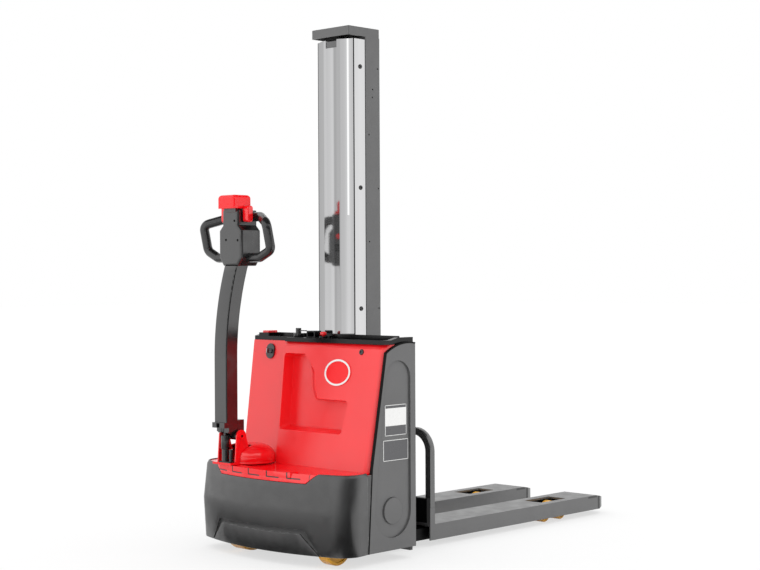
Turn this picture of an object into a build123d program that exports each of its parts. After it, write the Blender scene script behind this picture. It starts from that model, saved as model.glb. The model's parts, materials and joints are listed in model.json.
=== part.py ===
import os
from math import atan, cos, degrees, radians, sin, sqrt, tan

from build123d import *

os.makedirs("parts", exist_ok=True)

# Overall layout in millimetres: +X to the fork tips, +Y to the truck's left, ground at z = 0
body_width = 784
tail_depth = 455
fork_reach = 228
fork_length = 1150
lift_travel = 1500

overall_length = tail_depth + fork_reach + fork_length
tail_x = -overall_length / 2
body_x = tail_x + tail_depth
heel_x = body_x + fork_reach
tip_x = heel_x + fork_length

# Clearances
running_gap = 0.05
cover_gap = 1.5
seat_gap = 0.4
swing_gap = 2

# Bumper skirt round the tail
skirt_flare = 20
skirt_bottom = 43
skirt_top = 337
skirt_wall = 12
skirt_bow_radius = 1068
skirt_corner = 75
brim_drop = 12
brim_round = 7
skirt_seam_depth = 257
bulge_height = 195
bulge_over_top = 17
bulge_over_bottom = 10
relief_top_z = 118
relief_top_half = 214
relief_foot_half = 290
relief_groove = 16
relief_depth = 6
lip_notch_z = 300
lip_notch_half = 232
lip_notch_slant = 45
tab_rows = (-260, -90, 80)
tab_width = 40
tab_reach = 24
tab_height = 12

# Floor moulding over the skirt
floor_z = 334
floor_thickness = 8
tread_count = 5
tread_pitch = 100
tread_width = 92
tread_depth = 46
tread_height = 3
tread_drop = 18
tread_proud = 3
floor_posts = ((390, -175), (390, -5), (270, -340), (270, 60), (270, 340))
floor_post_radius = 12

# Main cover with its storage pocket
cover_top_z = 797
cover_slope = 0.185
cover_foot_depth = 239
cover_wall = 4
cover_brow = 17
cover_back_depth = 70
cover_edge = 30
bay_foot_depth = 170
bay_slope = 0.13
bay_foot_y = 118
bay_top_y = 158
pocket_depth = 50
pocket_draft = 10
pocket_foot_draft = 20
pocket_ramp = 62
pocket_wall = 7
pocket_foot_rise = 128
pocket_shelf_drop = 210
pocket_waist_drop = 171
pocket_neck_drop = 107
pocket_top_drop = 44
pocket_right_y = -230
pocket_foot_right_y = -212
pocket_step_y = -68
pocket_waist_y = -44
pocket_neck_y = -31
pocket_crest_y = 35
pocket_rounding = 14
badge_y = -158
badge_drop = 109
badge_half_width = 67
badge_half_height = 50
badge_thickness = 5
badge_rim = 7
key_y = 276
key_drop = 43
key_bow = 3
key_length = 60
key_width = 46
key_height = 6
key_barrel = 9

# Side panels
panel_thickness = 10
panel_bottom = 43
panel_knee_z = 348
panel_knee_depth = 237
panel_brow_drop = 29
panel_brow_depth = 159
panel_crown_depth = 100
panel_crown_drop = 1
panel_bay_inset = 12
panel_bay_crown_depth = 62
panel_top_rise = 5
panel_recess = 7
slot_top_z = 672
slot_bottom_z = 184
slot_front_depth = 28
slot_top_back_depth = 160
slot_foot_back_depth = 218
disc_depth = 121
disc_z = 187
disc_radius = 49
disc_rise = 6
panel_pads = (110, 330, 690)
pad_height = 40

# Black top tray
tray_base = 6
tray_height = 16
tray_front_depth = 150
tray_wall = 4
tray_bay_inset = 3
tray_room = 95
tray_rib = 8
tray_back_depth = 64
tray_back_wall = 12
tray_back_rise = 14
shoulder_rise = 9
shoulder_width = 20
shoulder_depth = 120
pod_y = 328
pod_width = 60
pod_depth = 70
pod_rise = 13
pod_lid_inset = 11
pod_lid_height = 8
pod_lid_edge = 2
estop_depth = 92
estop_y = 3
estop_radius = 12.5
estop_travel = 4
isolator_depth = 92
isolator_y = 142
isolator_radius = 20
isolator_skirt = 14
isolator_grip_radius = 11
isolator_height = 34
isolator_lever = 44
isolator_lever_drop = 12
hood_y = 71
hood_width = 46
hood_depth = 36
hood_rise = 25
hood_wall = 5

# Chassis weldment
deck_z = 262
deck_thickness = 10
bulkhead_thickness = 14
bulkhead_drop = 12
mast_foot_z = 60
mast_foot_plate = 10
mast_bay_depth = 58
mast_bay_plate = 8
mast_bay_side = 10
mast_bay_top = 300
beam_depth = 60
beam_half = 300
beam_bottom = 26
beam_top = 80

# Mast rails, cover and lift cylinder
mast_half = 101
rail_gap_depth = 42
rail_depth = 78
rail_web = 12
rail_flange = 12
rail_lip_y = 60
rail_holes = ((67, 119), (39, 201), (38, 232), (18, 378), (69, 585), (18, 793), (69, 1052))
rail_hole_radius = 3.5
cap_height = 35
cap_overhang = 6
cap_wall = 4
mast_cover_depth = 45
mast_cover_half = 96
mast_cover_sheet = 2
mast_flat_half = 42
mast_facet_depth = 24
mast_cover_bottom = 310
mast_cover_drop = 11
mast_notch_half = 29
mast_notch_depth = 30
strip_thickness = 3
tie_sheet = 5
tie_height = 60
tie_low_z = 330
tie_drop = 76
cylinder_x = 2
barrel_radius = 24
gland_radius = 27
gland_height = 25
rod_radius = 15
rod_foot_z = 110
rod_hold = 140
yoke_rise = 20
yoke_base_height = 15
yoke_cheek = 6
yoke_cheek_y = 12
pulley_rise = 55
pulley_pin_radius = 7
chain_pitch_radius = 33
chain_height = 9
chain_width = 14
pulley_flange_radius = 35
pulley_half = 11
chain_anchor_z = 250
chain_fixed_z = 720

# Carriage, forks and load backrest
fork_width = 172
fork_spread = 570
fork_top = 86
fork_bottom = 24
fork_top_plate = 8
fork_side_plate = 6
fork_nose_length = 63
fork_nose_width = 100
fork_nose_drop = 18
fork_nose_slope = 90
heel_thickness = 28
heel_top = 150
window_length = 170
window_width = 92
wheel_line = 1035
carriage_bottom = 95
carriage_top = 190
carriage_plate = 20
roller_plate_y = 44
roller_plate = 12
roller_plate_x = 62
roller_plate_reach = 42.5
roller_low_z = 140
roller_high_z = 460
roller_head_room = 16
roller_radius = 26.6
roller_width = 25
roller_gap = 1
stud_radius = 12.5
anchor_height = 30
hoop_tube = 26
hoop_top = 457
hoop_bend = 90

# Support legs, bogies and load wheels
leg_half = 62
leg_bottom = 26
leg_top = 72
leg_wall = 8
leg_tail = 140
leg_window = 220
load_wheel_radius = 37
load_wheel_width = 84
load_wheel_pitch = 110
load_axle_radius = 7
bogie_plate = 6
bogie_height = 32
bogie_end = 17
bogie_bush_radius = 14
bogie_pin_radius = 8

# Caster
caster_depth = 280
caster_y = -275
caster_trail = 35
caster_wheel_radius = 65
caster_wheel_width = 52
caster_axle_radius = 8
caster_mount_z = 180
caster_mount_size = 120
caster_mount_plate = 10
caster_mount_wall = 8
caster_head_height = 13
caster_head_radius = 48
caster_kingpin_radius = 12
caster_arm = 8
caster_arm_half = 36
caster_arm_end = 16
caster_side_gap = 6
caster_hub_radius = 20
caster_tread_round = 6

# Drive unit under the turret
steer_depth = 300
steer_y = 205.5
drive_wheel_radius = 100
drive_wheel_width = 70
drive_tyre = 18
drive_axle_radius = 20
drive_bevel = 4
drive_dish = 8
drive_hole_count = 5
drive_hole_radius = 8
gearbox_width = 34
gearbox_gap = 5
gearbox_radius = 52
drive_plate_z = 206
drive_plate = 12
drive_plate_radius = 86
neck_radius = 70
neck_bore = 58
slew_radius = 90
slew_height = 18
motor_radius = 52
motor_top = 392
motor_bevel = 6

# Turret, tiller bracket and return strut
turret_radius = 104
turret_base_z = 338
turret_base = 8
turret_shoulder_z = 360
turret_top = 408
turret_crown = 40
turret_wall = 4
turret_mouth = 25
ear_inner = 46
ear_plate = 6
pivot_lead = 81
pivot_z = 445
pivot_pin_radius = 8
pivot_head_radius = 13
ear_radius = 24
ear_front = 30
ear_foot = 8
tiller_tilt = 70
strut_offset_y = 2
strut_lead = 34.5
strut_tube_radius = 13
strut_tube_top = 399
strut_sleeve_bottom = 396
strut_foot = 4
strut_foot_margin = 18
strut_neck_radius = 6
strut_wall = 2.9
conduit_offset_y = -30
conduit_radius = 7
conduit_top = 396
yoke_thickness = 14
yoke_slot_half = 9.1
yoke_slot_height = 10.4
yoke_bias = 0.3
yoke_margin = 5
heel_pin_lead = 30
heel_pin_rise = 25
heel_pin_radius = 4

# Tiller arm and head
arm_width = 70
arm_depth = 60
arm_lead = 61
arm_foot_z = 462
arm_bend_z = 740
arm_bend_radius = 1170
arm_edge = 6
arm_boss_radius = 16
arm_heel = 33
arm_heel_top = 505
heel_lip = 10
heel_lip_z = 478
heel_relief = 13
heel_lip_top = 498
notch_width = 18
notch_reach = 24
notch_top = 496
head_lead = 104
head_foot_z = 1091
head_half_depth = 52
head_foot_half = 42
head_flare_z = 1122
head_half = 64
head_shoulder_z = 1226
neck_half = 44
head_neck_z = 1246
head_top_z = 1303
head_rounding = 12
post_half = 33
post_half_depth = 24
post_top = 1330
ring_tube = 18
ring_half = 199
ring_top_z = 1278
ring_top_offset = 28
ring_shoulder = 88
ring_elbow_z = 1250
ring_elbow_offset = -28
ring_hip_z = 1150
ring_hip_offset = -5
ring_bottom_z = 1122
ring_foot = 120
ring_bend = 26
belly_offset = -27
belly_half = 47
belly_half_depth = 44
belly_top = 1361
belly_travel = 6
belly_rounding = 14
butterfly_z = 1288
butterfly_offset = -14
butterfly_shaft = 6
wing_inner = 50
wing_outer = 78
wing_depth = 28
wing_round = 10
wing_height = 62
rocker_z = 1165
rocker_width = 40
rocker_height = 24
rocker_depth = 14
rocker_proud = 4
rocker_pin = 3
rocker_pin_depth = 5
rocker_pocket = 16
horn_z = 1212
horn_radius = 11
horn_proud = 4
horn_travel = 3
horn_edge = 1

# Power gear behind the cover
gear_gap = 10
battery_length = 330
battery_depth = 140
battery_height = 164
battery_side = 20
battery_post_radius = 9
battery_post_height = 14
battery_post_inset = 35
battery_post_pitch = 220
pack_side = 40
pack_length = 200
pack_depth = 110
pack_tank_height = 130
pack_motor_radius = 48
pack_motor_height = 150
pack_valve = 60
controller_y = -200
controller_width = 160
controller_height = 130
controller_depth = 40
controller_z = 560
fin_count = 6

# Places that several pieces share
panel_half = body_width / 2 - panel_thickness
cover_half = panel_half - cover_gap
cover_foot_z = floor_z
tray_rim_z = cover_top_z + tray_height
shoulder_z = tray_rim_z + shoulder_rise
bulkhead_top = cover_top_z - bulkhead_drop
steer_x = body_x - steer_depth
pivot_x = steer_x - pivot_lead
strut_x = pivot_x - strut_lead
strut_y = steer_y + strut_offset_y
arm_face_x = pivot_x - arm_lead
head_x = arm_face_x + head_lead
rail_x = body_x + rail_gap_depth
rail_front_x = rail_x + rail_depth
rail_top = roller_high_z + lift_travel + roller_head_room
mast_top = rail_top + cap_height
tie_heights = (tie_low_z, chain_fixed_z - anchor_height, rail_top - tie_drop)
barrel_top = rod_foot_z + lift_travel / 2 + rod_hold
yoke_base_z = barrel_top + yoke_rise
pulley_z = yoke_base_z + pulley_rise
bulkhead_x = body_x - bulkhead_thickness
deck_half = cover_half - cover_wall - swing_gap
lift_x = body_x + cylinder_x
yoke_half = yoke_cheek_y + yoke_cheek
chain_front_x = lift_x + chain_pitch_radius
chain_back_x = lift_x - chain_pitch_radius
fork_y = (fork_spread - fork_width) / 2
wheel_line_x = body_x + wheel_line
roller_x = rail_x + rail_depth / 2
heel_back_x = heel_x - heel_thickness
caster_x = body_x - caster_depth
sides = (("left", 1), ("right", -1))

pieces = {}


def outline_face(plane, points, rounding=0):
    """A closed face through the points of an outline, its corners rounded alike."""
    with BuildSketch(plane) as outline:
        with BuildLine():
            Polyline(*points, close=True)
        make_face()
        if rounding:
            fillet(outline.vertices(), rounding)
    return outline.sketch


def plate_x(points, x_from, x_to, mode=Mode.ADD, rounding=0):
    """A plate whose (y, z) outline runs along X."""
    extrude(outline_face(Plane.YZ.offset(x_from), points, rounding), amount=x_to - x_from, mode=mode)


def plate_y(points, y_from, y_to, mode=Mode.ADD, rounding=0):
    """A plate whose (x, z) outline runs along Y."""
    extrude(outline_face(Plane.XZ.offset(-y_to), points, rounding), amount=y_to - y_from, mode=mode)


def plate_z(points, z_from, z_to, mode=Mode.ADD, rounding=0):
    """A plate whose (x, y) outline runs along Z."""
    extrude(outline_face(Plane.XY.offset(z_from), points, rounding), amount=z_to - z_from, mode=mode)


def bar_x(y, z, radius, x_from, x_to, mode=Mode.ADD):
    """A round bar along X."""
    with BuildSketch(Plane.YZ.offset(x_from)) as section:
        with Locations((y, z)):
            Circle(radius)
    extrude(section.sketch, amount=x_to - x_from, mode=mode)


def bar_y(x, z, radius, y_from, y_to, mode=Mode.ADD):
    """A round bar along Y."""
    with BuildSketch(Plane.XZ.offset(-y_to)) as section:
        with Locations((x, z)):
            Circle(radius)
    extrude(section.sketch, amount=y_to - y_from, mode=mode)


def bar_z(x, y, radius, z_from, z_to, mode=Mode.ADD):
    """A round bar along Z."""
    with BuildSketch(Plane.XY.offset(z_from)) as section:
        with Locations((x, y)):
            Circle(radius)
    extrude(section.sketch, amount=z_to - z_from, mode=mode)


def box_points(a_from, a_to, b_from, b_to):
    """Corners of an upright rectangle."""
    return [(a_from, b_from), (a_to, b_from), (a_to, b_to), (a_from, b_to)]


def ordered(side, near, far):
    """The two Y limits of a span on one side of the truck, smaller first."""
    return (near, far) if side > 0 else (-far, -near)


# Bumper skirt
def tail_face(z, tail_out, inset, front_x):
    """Plan outline of the tail: bowed rear, rounded corners and straight sides."""
    seam_half = body_width / 2 - inset
    half = seam_half + skirt_flare
    rear_x = tail_x + bulge_over_bottom - tail_out + inset
    bow = skirt_bow_radius - sqrt(skirt_bow_radius**2 - half**2)
    with BuildSketch(Plane.XY.offset(z)) as outline:
        with BuildLine():
            ThreePointArc((rear_x + bow, -half), (rear_x, 0), (rear_x + bow, half))
            Polyline((rear_x + bow, half), (front_x, seam_half), (front_x, -seam_half), (rear_x + bow, -half))
        make_face()
        corners = outline.vertices().group_by(Axis.X)[0]
        fillet(corners, skirt_corner - inset)
    return outline.sketch


bulge_out = bulge_over_bottom
top_out = bulge_over_bottom - bulge_over_top
skirt_seam_x = body_x - skirt_seam_depth
past_seam_x = skirt_seam_x + skirt_wall


def tail_solid(inset, front_x, mode=Mode.ADD, bevel=0):
    """The skirt's body inside an inset: two straight drafts that meet at the bulge, then the brim's bevel."""
    foot = tail_face(skirt_bottom, 0, inset, front_x)
    waist = tail_face(bulge_height, bulge_out, inset, front_x)
    shoulder = tail_face(skirt_top - brim_drop, top_out, inset, front_x)
    brim = tail_face(skirt_top, top_out, inset + bevel, front_x)
    loft(sections=[foot, waist, shoulder, brim], ruled=True, mode=mode)


def relief_points(grow):
    """Trapezoid of the bumper's raised pad, grown by a margin."""
    return [
        (-relief_foot_half - grow, skirt_bottom - grow),
        (relief_foot_half + grow, skirt_bottom - grow),
        (relief_top_half + grow, relief_top_z + grow),
        (-relief_top_half - grow, relief_top_z + grow),
    ]


def lip_points(grow):
    """Slanted notch in the skirt's brim where the floor's lip hangs over."""
    return [
        (-lip_notch_half - grow, lip_notch_z - grow),
        (lip_notch_half + grow, lip_notch_z - grow),
        (lip_notch_half + lip_notch_slant + grow, skirt_top),
        (-lip_notch_half - lip_notch_slant - grow, skirt_top),
    ]


with BuildPart() as relief_ring:
    tail_solid(0, skirt_seam_x)
    tail_solid(relief_depth, past_seam_x, Mode.SUBTRACT)
    plate_x(relief_points(relief_groove), tail_x, skirt_seam_x, Mode.INTERSECT)
    plate_x(relief_points(0), tail_x, skirt_seam_x, Mode.SUBTRACT)

with BuildPart() as skirt_tabs:
    tail_solid(skirt_wall / 2, skirt_seam_x)
    with BuildSketch(Plane.XY.offset(deck_z + deck_thickness)) as tab_faces:
        for y in tab_rows:
            with Locations((tail_x + bulge_over_bottom + skirt_wall + y**2 / (2 * skirt_bow_radius), y)):
                Rectangle(2 * tab_reach, tab_width)
        for side_name, side in sides:
            with Locations((skirt_seam_x - tab_reach - cover_gap, side * (body_width / 2 - skirt_wall))):
                Rectangle(2 * tab_reach, 2 * tab_reach)
    extrude(tab_faces.sketch, amount=tab_height, mode=Mode.INTERSECT)

with BuildPart() as rear_skirt:
    tail_solid(0, skirt_seam_x, bevel=brim_round)
    tail_solid(skirt_wall, past_seam_x, Mode.SUBTRACT)
    plate_x(lip_points(0), tail_x, skirt_seam_x, Mode.SUBTRACT)
    add(relief_ring.part, mode=Mode.SUBTRACT)
    add(skirt_tabs.part)
pieces["rear_skirt"] = rear_skirt

# Floor moulding: plate inside the skirt, lip in the skirt's notch and a row of tread blocks
floor_inset = skirt_wall + cover_gap
floor_front_x = body_x - cover_foot_depth + floor_inset
tread_span = degrees(tread_pitch / skirt_bow_radius) * (tread_count - 1)
tread_start = 180 - tread_span / 2
brim_x = tail_x + bulge_over_top

with BuildPart() as floor_lip:
    tail_solid(0, skirt_seam_x, bevel=brim_round)
    tail_solid(floor_inset + floor_thickness, past_seam_x, Mode.SUBTRACT)
    plate_x(lip_points(-cover_gap), tail_x, steer_x, Mode.INTERSECT)
    plate_z(box_points(tail_x, body_x, -body_width, body_width), floor_z, skirt_top, Mode.SUBTRACT)

with BuildPart() as floor_cover:
    floor_foot = floor_z - floor_thickness
    extrude(tail_face(floor_foot, top_out, floor_inset, skirt_seam_x - cover_gap), amount=floor_thickness)
    apron_half = body_width / 2 - floor_inset
    apron = box_points(skirt_seam_x - floor_inset, floor_front_x, -apron_half, apron_half)
    plate_z(apron, floor_foot, floor_z)
    bay_front_x = body_x - bay_foot_depth + floor_inset
    bay_apron = box_points(floor_front_x, bay_front_x, bay_foot_y - floor_inset, apron_half)
    plate_z(bay_apron, floor_foot, floor_z)
    for post_x, post_y in floor_posts:
        bar_z(body_x - post_x, post_y, floor_post_radius, deck_z + deck_thickness, floor_foot)
    add(floor_lip.part)
    with BuildSketch(Plane.XY.offset(floor_z - tread_drop)) as treads:
        with Locations((brim_x - tread_proud + skirt_bow_radius, 0)):
            with PolarLocations(skirt_bow_radius - tread_depth / 2, tread_count, tread_start, tread_span):
                Rectangle(tread_depth, tread_width)
    extrude(treads.sketch, amount=tread_drop + tread_height)
    bar_z(steer_x, steer_y, neck_radius + swing_gap, floor_foot, skirt_top, Mode.SUBTRACT)
pieces["floor_cover"] = floor_cover


# Main cover: a leaning shell with a recessed bay for the turret and a storage pocket
brow_z = cover_top_z - cover_brow
cover_back_x = body_x - cover_back_depth


def cover_x(z, shift=0):
    """X of the leaning face at a height."""
    return body_x - cover_foot_depth + (z - cover_foot_z) * cover_slope + shift


def bay_x(z, shift=0):
    """X of the turret bay's steeper face at a height."""
    return body_x - bay_foot_depth + (z - cover_foot_z) * bay_slope + shift


def bay_y(z):
    """Y of the slanting edge between the main face and the turret bay at a height."""
    return bay_foot_y + (bay_top_y - bay_foot_y) * (z - cover_foot_z) / (cover_top_z - cover_foot_z)


def leaning_plane(foot_x, slope):
    """Plane of a leaning face, its sketch axes pointing to the right and up the slope."""
    lean = atan(slope)
    return Plane(origin=(foot_x, 0, cover_foot_z), x_dir=(0, -1, 0), z_dir=(-cos(lean), 0, sin(lean)))


cover_plane = leaning_plane(cover_x(cover_foot_z), cover_slope)
bay_plane = leaning_plane(bay_x(cover_foot_z), bay_slope)


def on_slope(y, z, slope):
    """Sketch position on a leaning face of a point given by y and height."""
    return (-y, (z - cover_foot_z) / cos(atan(slope)))


def cover_body(inset):
    """The cover's block inside an inset, its right edge rounded; inset, it runs out of the foot and back."""
    foot_z = cover_foot_z - inset
    top_z = cover_top_z - inset
    points = [
        (cover_x(foot_z, inset), foot_z),
        (cover_x(brow_z, inset), brow_z),
        (cover_x(brow_z, cover_brow + inset), top_z),
        (cover_back_x + inset, top_z),
        (cover_back_x + inset, foot_z),
    ]
    with BuildPart() as block:
        plate_y(points, -cover_half + inset, cover_half - inset)
        end_edges = block.faces().sort_by(Axis.Y)[0].edges()
        leaning_edges = end_edges.filter_by(Axis.X, reverse=True).filter_by(Axis.Z, reverse=True)
        fillet(leaning_edges, cover_edge - inset)
    return block


def bay_room(inset):
    """Room for the turret on the left, grown by an inset, behind the main face and with a slanting edge."""
    low_z = cover_foot_z - cover_brow
    high_z = cover_top_z + cover_brow
    edge = [
        (bay_y(low_z) - inset, low_z),
        (body_width / 2, low_z),
        (body_width / 2, high_z),
        (bay_y(high_z) - inset, high_z),
    ]
    depth = [
        (cover_x(low_z, -cover_brow), low_z),
        (bay_x(low_z, inset), low_z),
        (bay_x(high_z, inset), high_z),
        (cover_x(low_z, -cover_brow), high_z),
    ]
    with BuildPart() as room:
        plate_x(edge, cover_x(low_z, -cover_brow), body_x)
        plate_y(depth, 0, body_width / 2, Mode.INTERSECT)
    return room


pocket_foot_z = cover_foot_z + pocket_foot_rise
pocket_shelf_z = cover_top_z - pocket_shelf_drop
pocket_waist_z = cover_top_z - pocket_waist_drop
pocket_neck_z = cover_top_z - pocket_neck_drop
pocket_top_z = cover_top_z - pocket_top_drop


def pocket_face(depth, draft, foot_draft, ramp, grow):
    """Outline of the storage pocket at a depth: a wide low part and a tall part beside the turret bay."""
    foot_z = pocket_foot_z + foot_draft
    corners = (
        (bay_y(pocket_foot_z) - pocket_wall, foot_z),
        (pocket_foot_right_y + draft, foot_z),
        (pocket_right_y + draft, pocket_shelf_z),
        (pocket_step_y + ramp, pocket_shelf_z),
        (pocket_waist_y + ramp, pocket_waist_z),
        (pocket_neck_y + ramp, pocket_neck_z),
        (pocket_crest_y + ramp / 2, pocket_top_z),
        (bay_y(pocket_top_z) - pocket_wall, pocket_top_z),
    )
    places = [on_slope(y, z, cover_slope) for y, z in corners]
    with BuildSketch(cover_plane.offset(-depth)) as mouth:
        with BuildLine():
            FilletPolyline(*places, radius=pocket_rounding, close=True)
        make_face()
        if grow:
            offset(amount=grow)
    return mouth.sketch


def pocket_room(grow):
    """The storage pocket's room, grown by a wall; its step side is a ramp and its foot slopes."""
    mouth = pocket_face(0, 0, 0, 0, grow)
    floor = pocket_face(pocket_depth + grow, pocket_draft, pocket_foot_draft, pocket_ramp, grow)
    loft(sections=[mouth, floor], ruled=True, mode=Mode.SUBTRACT)


with BuildPart() as cover_core:
    add(cover_body(cover_wall).part)
    add(bay_room(cover_wall).part, mode=Mode.SUBTRACT)
    pocket_room(cover_wall)

with BuildPart() as main_cover:
    add(cover_body(0).part)
    add(bay_room(0).part, mode=Mode.SUBTRACT)
    pocket_room(0)
    add(cover_core.part, mode=Mode.SUBTRACT)
pieces["main_cover"] = main_cover

badge_place = on_slope(badge_y, cover_top_z - badge_drop, cover_slope)
key_z = cover_top_z - key_drop
key_place = on_slope(key_y, key_z, bay_slope)

with BuildPart() as badge_disc:
    with BuildSketch(cover_plane) as badge_rim_face:
        with Locations(badge_place):
            Ellipse(badge_half_width, badge_half_height)
    extrude(amount=badge_thickness)
    with BuildSketch(cover_plane.offset(badge_thickness / 2)) as badge_field:
        with Locations(badge_place):
            Ellipse(badge_half_width - badge_rim, badge_half_height - badge_rim)
    extrude(amount=badge_thickness, mode=Mode.SUBTRACT)
pieces["badge_disc"] = badge_disc

with BuildPart() as key_bezel:
    with BuildSketch(bay_plane) as bezel_face:
        with Locations(key_place):
            SlotOverall(key_length, key_width, rotation=90)
            Circle(key_barrel + running_gap, mode=Mode.SUBTRACT)
    extrude(amount=key_height)
pieces["key_bezel"] = key_bezel

with BuildPart() as key:
    with BuildSketch(bay_plane.offset(seat_gap)) as barrel_face:
        with Locations(key_place):
            Circle(key_barrel)
    extrude(amount=key_height)
    with BuildSketch(bay_plane.offset(key_height + seat_gap)) as bow_face:
        with Locations(key_place):
            Rectangle(key_bow, key_barrel * 2)
    extrude(amount=key_barrel * 2)
pieces["key"] = key


# Side panels with the long shallow recess and the round boss
panel_brow_z = cover_top_z - panel_brow_drop
panel_crown_z = cover_top_z - panel_crown_drop
panel_top_z = cover_top_z + panel_top_rise
panel_knee_x = body_x - panel_knee_depth + cover_gap
panel_edges = {
    1: (
        (panel_knee_x, panel_knee_z),
        (bay_x(panel_knee_z, panel_bay_inset), panel_knee_z),
        (bay_x(panel_brow_z, panel_bay_inset), panel_brow_z),
    ),
    -1: (
        (panel_knee_x, panel_knee_z),
        (body_x - panel_brow_depth, panel_brow_z),
    ),
}
panel_crowns = {1: panel_bay_crown_depth, -1: panel_crown_depth}


def side_panel(side):
    """One pressed side panel, from the skirt's seam to the fork side; the left one clears the turret bay."""
    near, far = ordered(side, panel_half, body_width / 2)
    recess_face = body_width / 2 - panel_recess
    recess_near, recess_far = ordered(side, recess_face, body_width / 2)
    boss_near, boss_far = ordered(side, recess_face, recess_face + disc_rise)
    top_radius = (slot_top_back_depth - slot_front_depth) / 2
    foot_radius = (slot_foot_back_depth - slot_front_depth) / 2
    with BuildPart() as panel:
        with BuildSketch(Plane.XZ.offset(-far)) as sheet:
            with BuildLine():
                Polyline(
                    (body_x, panel_top_z),
                    (body_x, panel_bottom),
                    (body_x - skirt_seam_depth + cover_gap, panel_bottom),
                    *panel_edges[side],
                )
                ThreePointArc(
                    panel_edges[side][-1],
                    (body_x - panel_crowns[side], panel_crown_z),
                    (body_x, panel_top_z),
                )
            make_face()
        extrude(sheet.sketch, amount=panel_thickness)
        with BuildSketch(Plane.XZ.offset(-recess_far)) as slot:
            with Locations((body_x - slot_front_depth - top_radius, slot_top_z)):
                Circle(top_radius)
            with Locations((body_x - slot_front_depth - foot_radius, slot_bottom_z)):
                Circle(foot_radius)
            make_hull()
        extrude(slot.sketch, amount=panel_recess, mode=Mode.SUBTRACT)
        bar_y(body_x - disc_depth, disc_z, disc_radius, boss_near, boss_far)
        pad_near, pad_far = ordered(side, deck_half, panel_half)
        for pad_z in panel_pads:
            plate_y(box_points(bulkhead_x, body_x, pad_z, pad_z + pad_height), pad_near, pad_far)
    return panel


for side_name, side in sides:
    pieces["side_panel_" + side_name] = side_panel(side)

# Top tray: moulded deck with compartments, shoulders, a raised pod and the switch bosses
tray_front_x = body_x - tray_front_depth
mast_slot_half = mast_half + swing_gap
mast_slot_x = body_x - mast_cover_depth - swing_gap
estop_x = body_x - estop_depth
isolator_x = body_x - isolator_depth
tray_bay_x = bay_x(cover_top_z, tray_bay_inset)
tray_bay_y = bay_y(cover_top_z)
pod_z = tray_rim_z + pod_rise
pod_back_x = tray_bay_x + pod_depth
estop_boss_z = tray_rim_z + tray_base
tray_back_x = body_x - tray_back_depth
tray_back_z = tray_rim_z + tray_back_rise
hood_back_x = tray_back_x + tray_back_wall / 2
hood_front_x = hood_back_x - hood_depth
compartments = (
    (estop_y - estop_radius - tray_wall - tray_room, estop_y - estop_radius - tray_wall),
    (shoulder_width + tray_wall - cover_half, estop_y - estop_radius - tray_wall - tray_room - tray_rib),
)

with BuildPart() as top_tray:
    base = [
        (tray_front_x, -cover_half),
        (body_x, -cover_half),
        (body_x, cover_half),
        (tray_bay_x, cover_half),
        (tray_bay_x, tray_bay_y),
        (tray_front_x, tray_bay_y),
    ]
    plate_z(base, cover_top_z, tray_rim_z)
    for y_from, y_to in compartments:
        room = box_points(tray_front_x + tray_wall, tray_back_x, y_from, y_to)
        plate_z(room, cover_top_z + tray_base, tray_rim_z, Mode.SUBTRACT, tray_wall)
    for side_name, side in sides:
        near, far = ordered(side, cover_half - shoulder_width, cover_half)
        shoulder_x = tray_bay_x if side > 0 else body_x - shoulder_depth
        shoulder = [
            (body_x, tray_rim_z),
            (body_x, shoulder_z),
            (shoulder_x + 2 * shoulder_width, shoulder_z),
            (shoulder_x, tray_rim_z),
        ]
        plate_y(shoulder, near, far)
    pod_foot = box_points(tray_bay_x, pod_back_x, pod_y - pod_width / 2, pod_y + pod_width / 2)
    plate_z(pod_foot, tray_rim_z, pod_z, rounding=tray_wall)
    wall_low_y = -cover_half + shoulder_width
    wall_high_y = pod_y - pod_width / 2
    back_wall = box_points(tray_back_x, tray_back_x + tray_back_wall, wall_low_y, wall_high_y)
    plate_z(back_wall, tray_rim_z, tray_back_z)
    hood_half = hood_width / 2
    hood = box_points(hood_y - hood_half, hood_y + hood_half, cover_top_z + tray_base, tray_rim_z + hood_rise)
    plate_x(hood, hood_front_x, hood_back_x, rounding=tray_base)
    hood_room = hood_half - hood_wall
    hood_top = tray_rim_z + hood_rise - hood_wall
    hood_foot = tray_rim_z + tray_wall / 2
    hood_mouth = box_points(hood_y - hood_room, hood_y + hood_room, hood_foot, hood_top)
    plate_x(hood_mouth, hood_front_x, hood_back_x - hood_wall, Mode.SUBTRACT, tray_base)
    bar_z(estop_x, estop_y, estop_radius + tray_wall, tray_rim_z, estop_boss_z)
    estop_bore = estop_radius / 2 + running_gap
    bar_z(estop_x, estop_y, estop_bore, cover_top_z + tray_base, estop_boss_z, Mode.SUBTRACT)
    isolator_bore = isolator_radius / 2 + running_gap
    bar_z(isolator_x, isolator_y, isolator_bore, cover_top_z + tray_base, tray_rim_z, Mode.SUBTRACT)
    mast_slot = box_points(mast_slot_x, body_x, -mast_slot_half, mast_slot_half)
    plate_z(mast_slot, cover_top_z, shoulder_z, Mode.SUBTRACT)
pieces["top_tray"] = top_tray

with BuildPart() as pod_lid:
    lid_half = pod_width / 2 - pod_lid_inset
    lid_front_x = tray_bay_x + pod_lid_inset
    lid = box_points(lid_front_x, pod_back_x - pod_lid_inset, pod_y - lid_half, pod_y + lid_half)
    plate_z(lid, pod_z, pod_z + pod_lid_height, rounding=tray_wall)
    chamfer(pod_lid.faces().sort_by(Axis.Z)[-1].edges(), pod_lid_edge)
pieces["pod_lid"] = pod_lid

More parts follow.
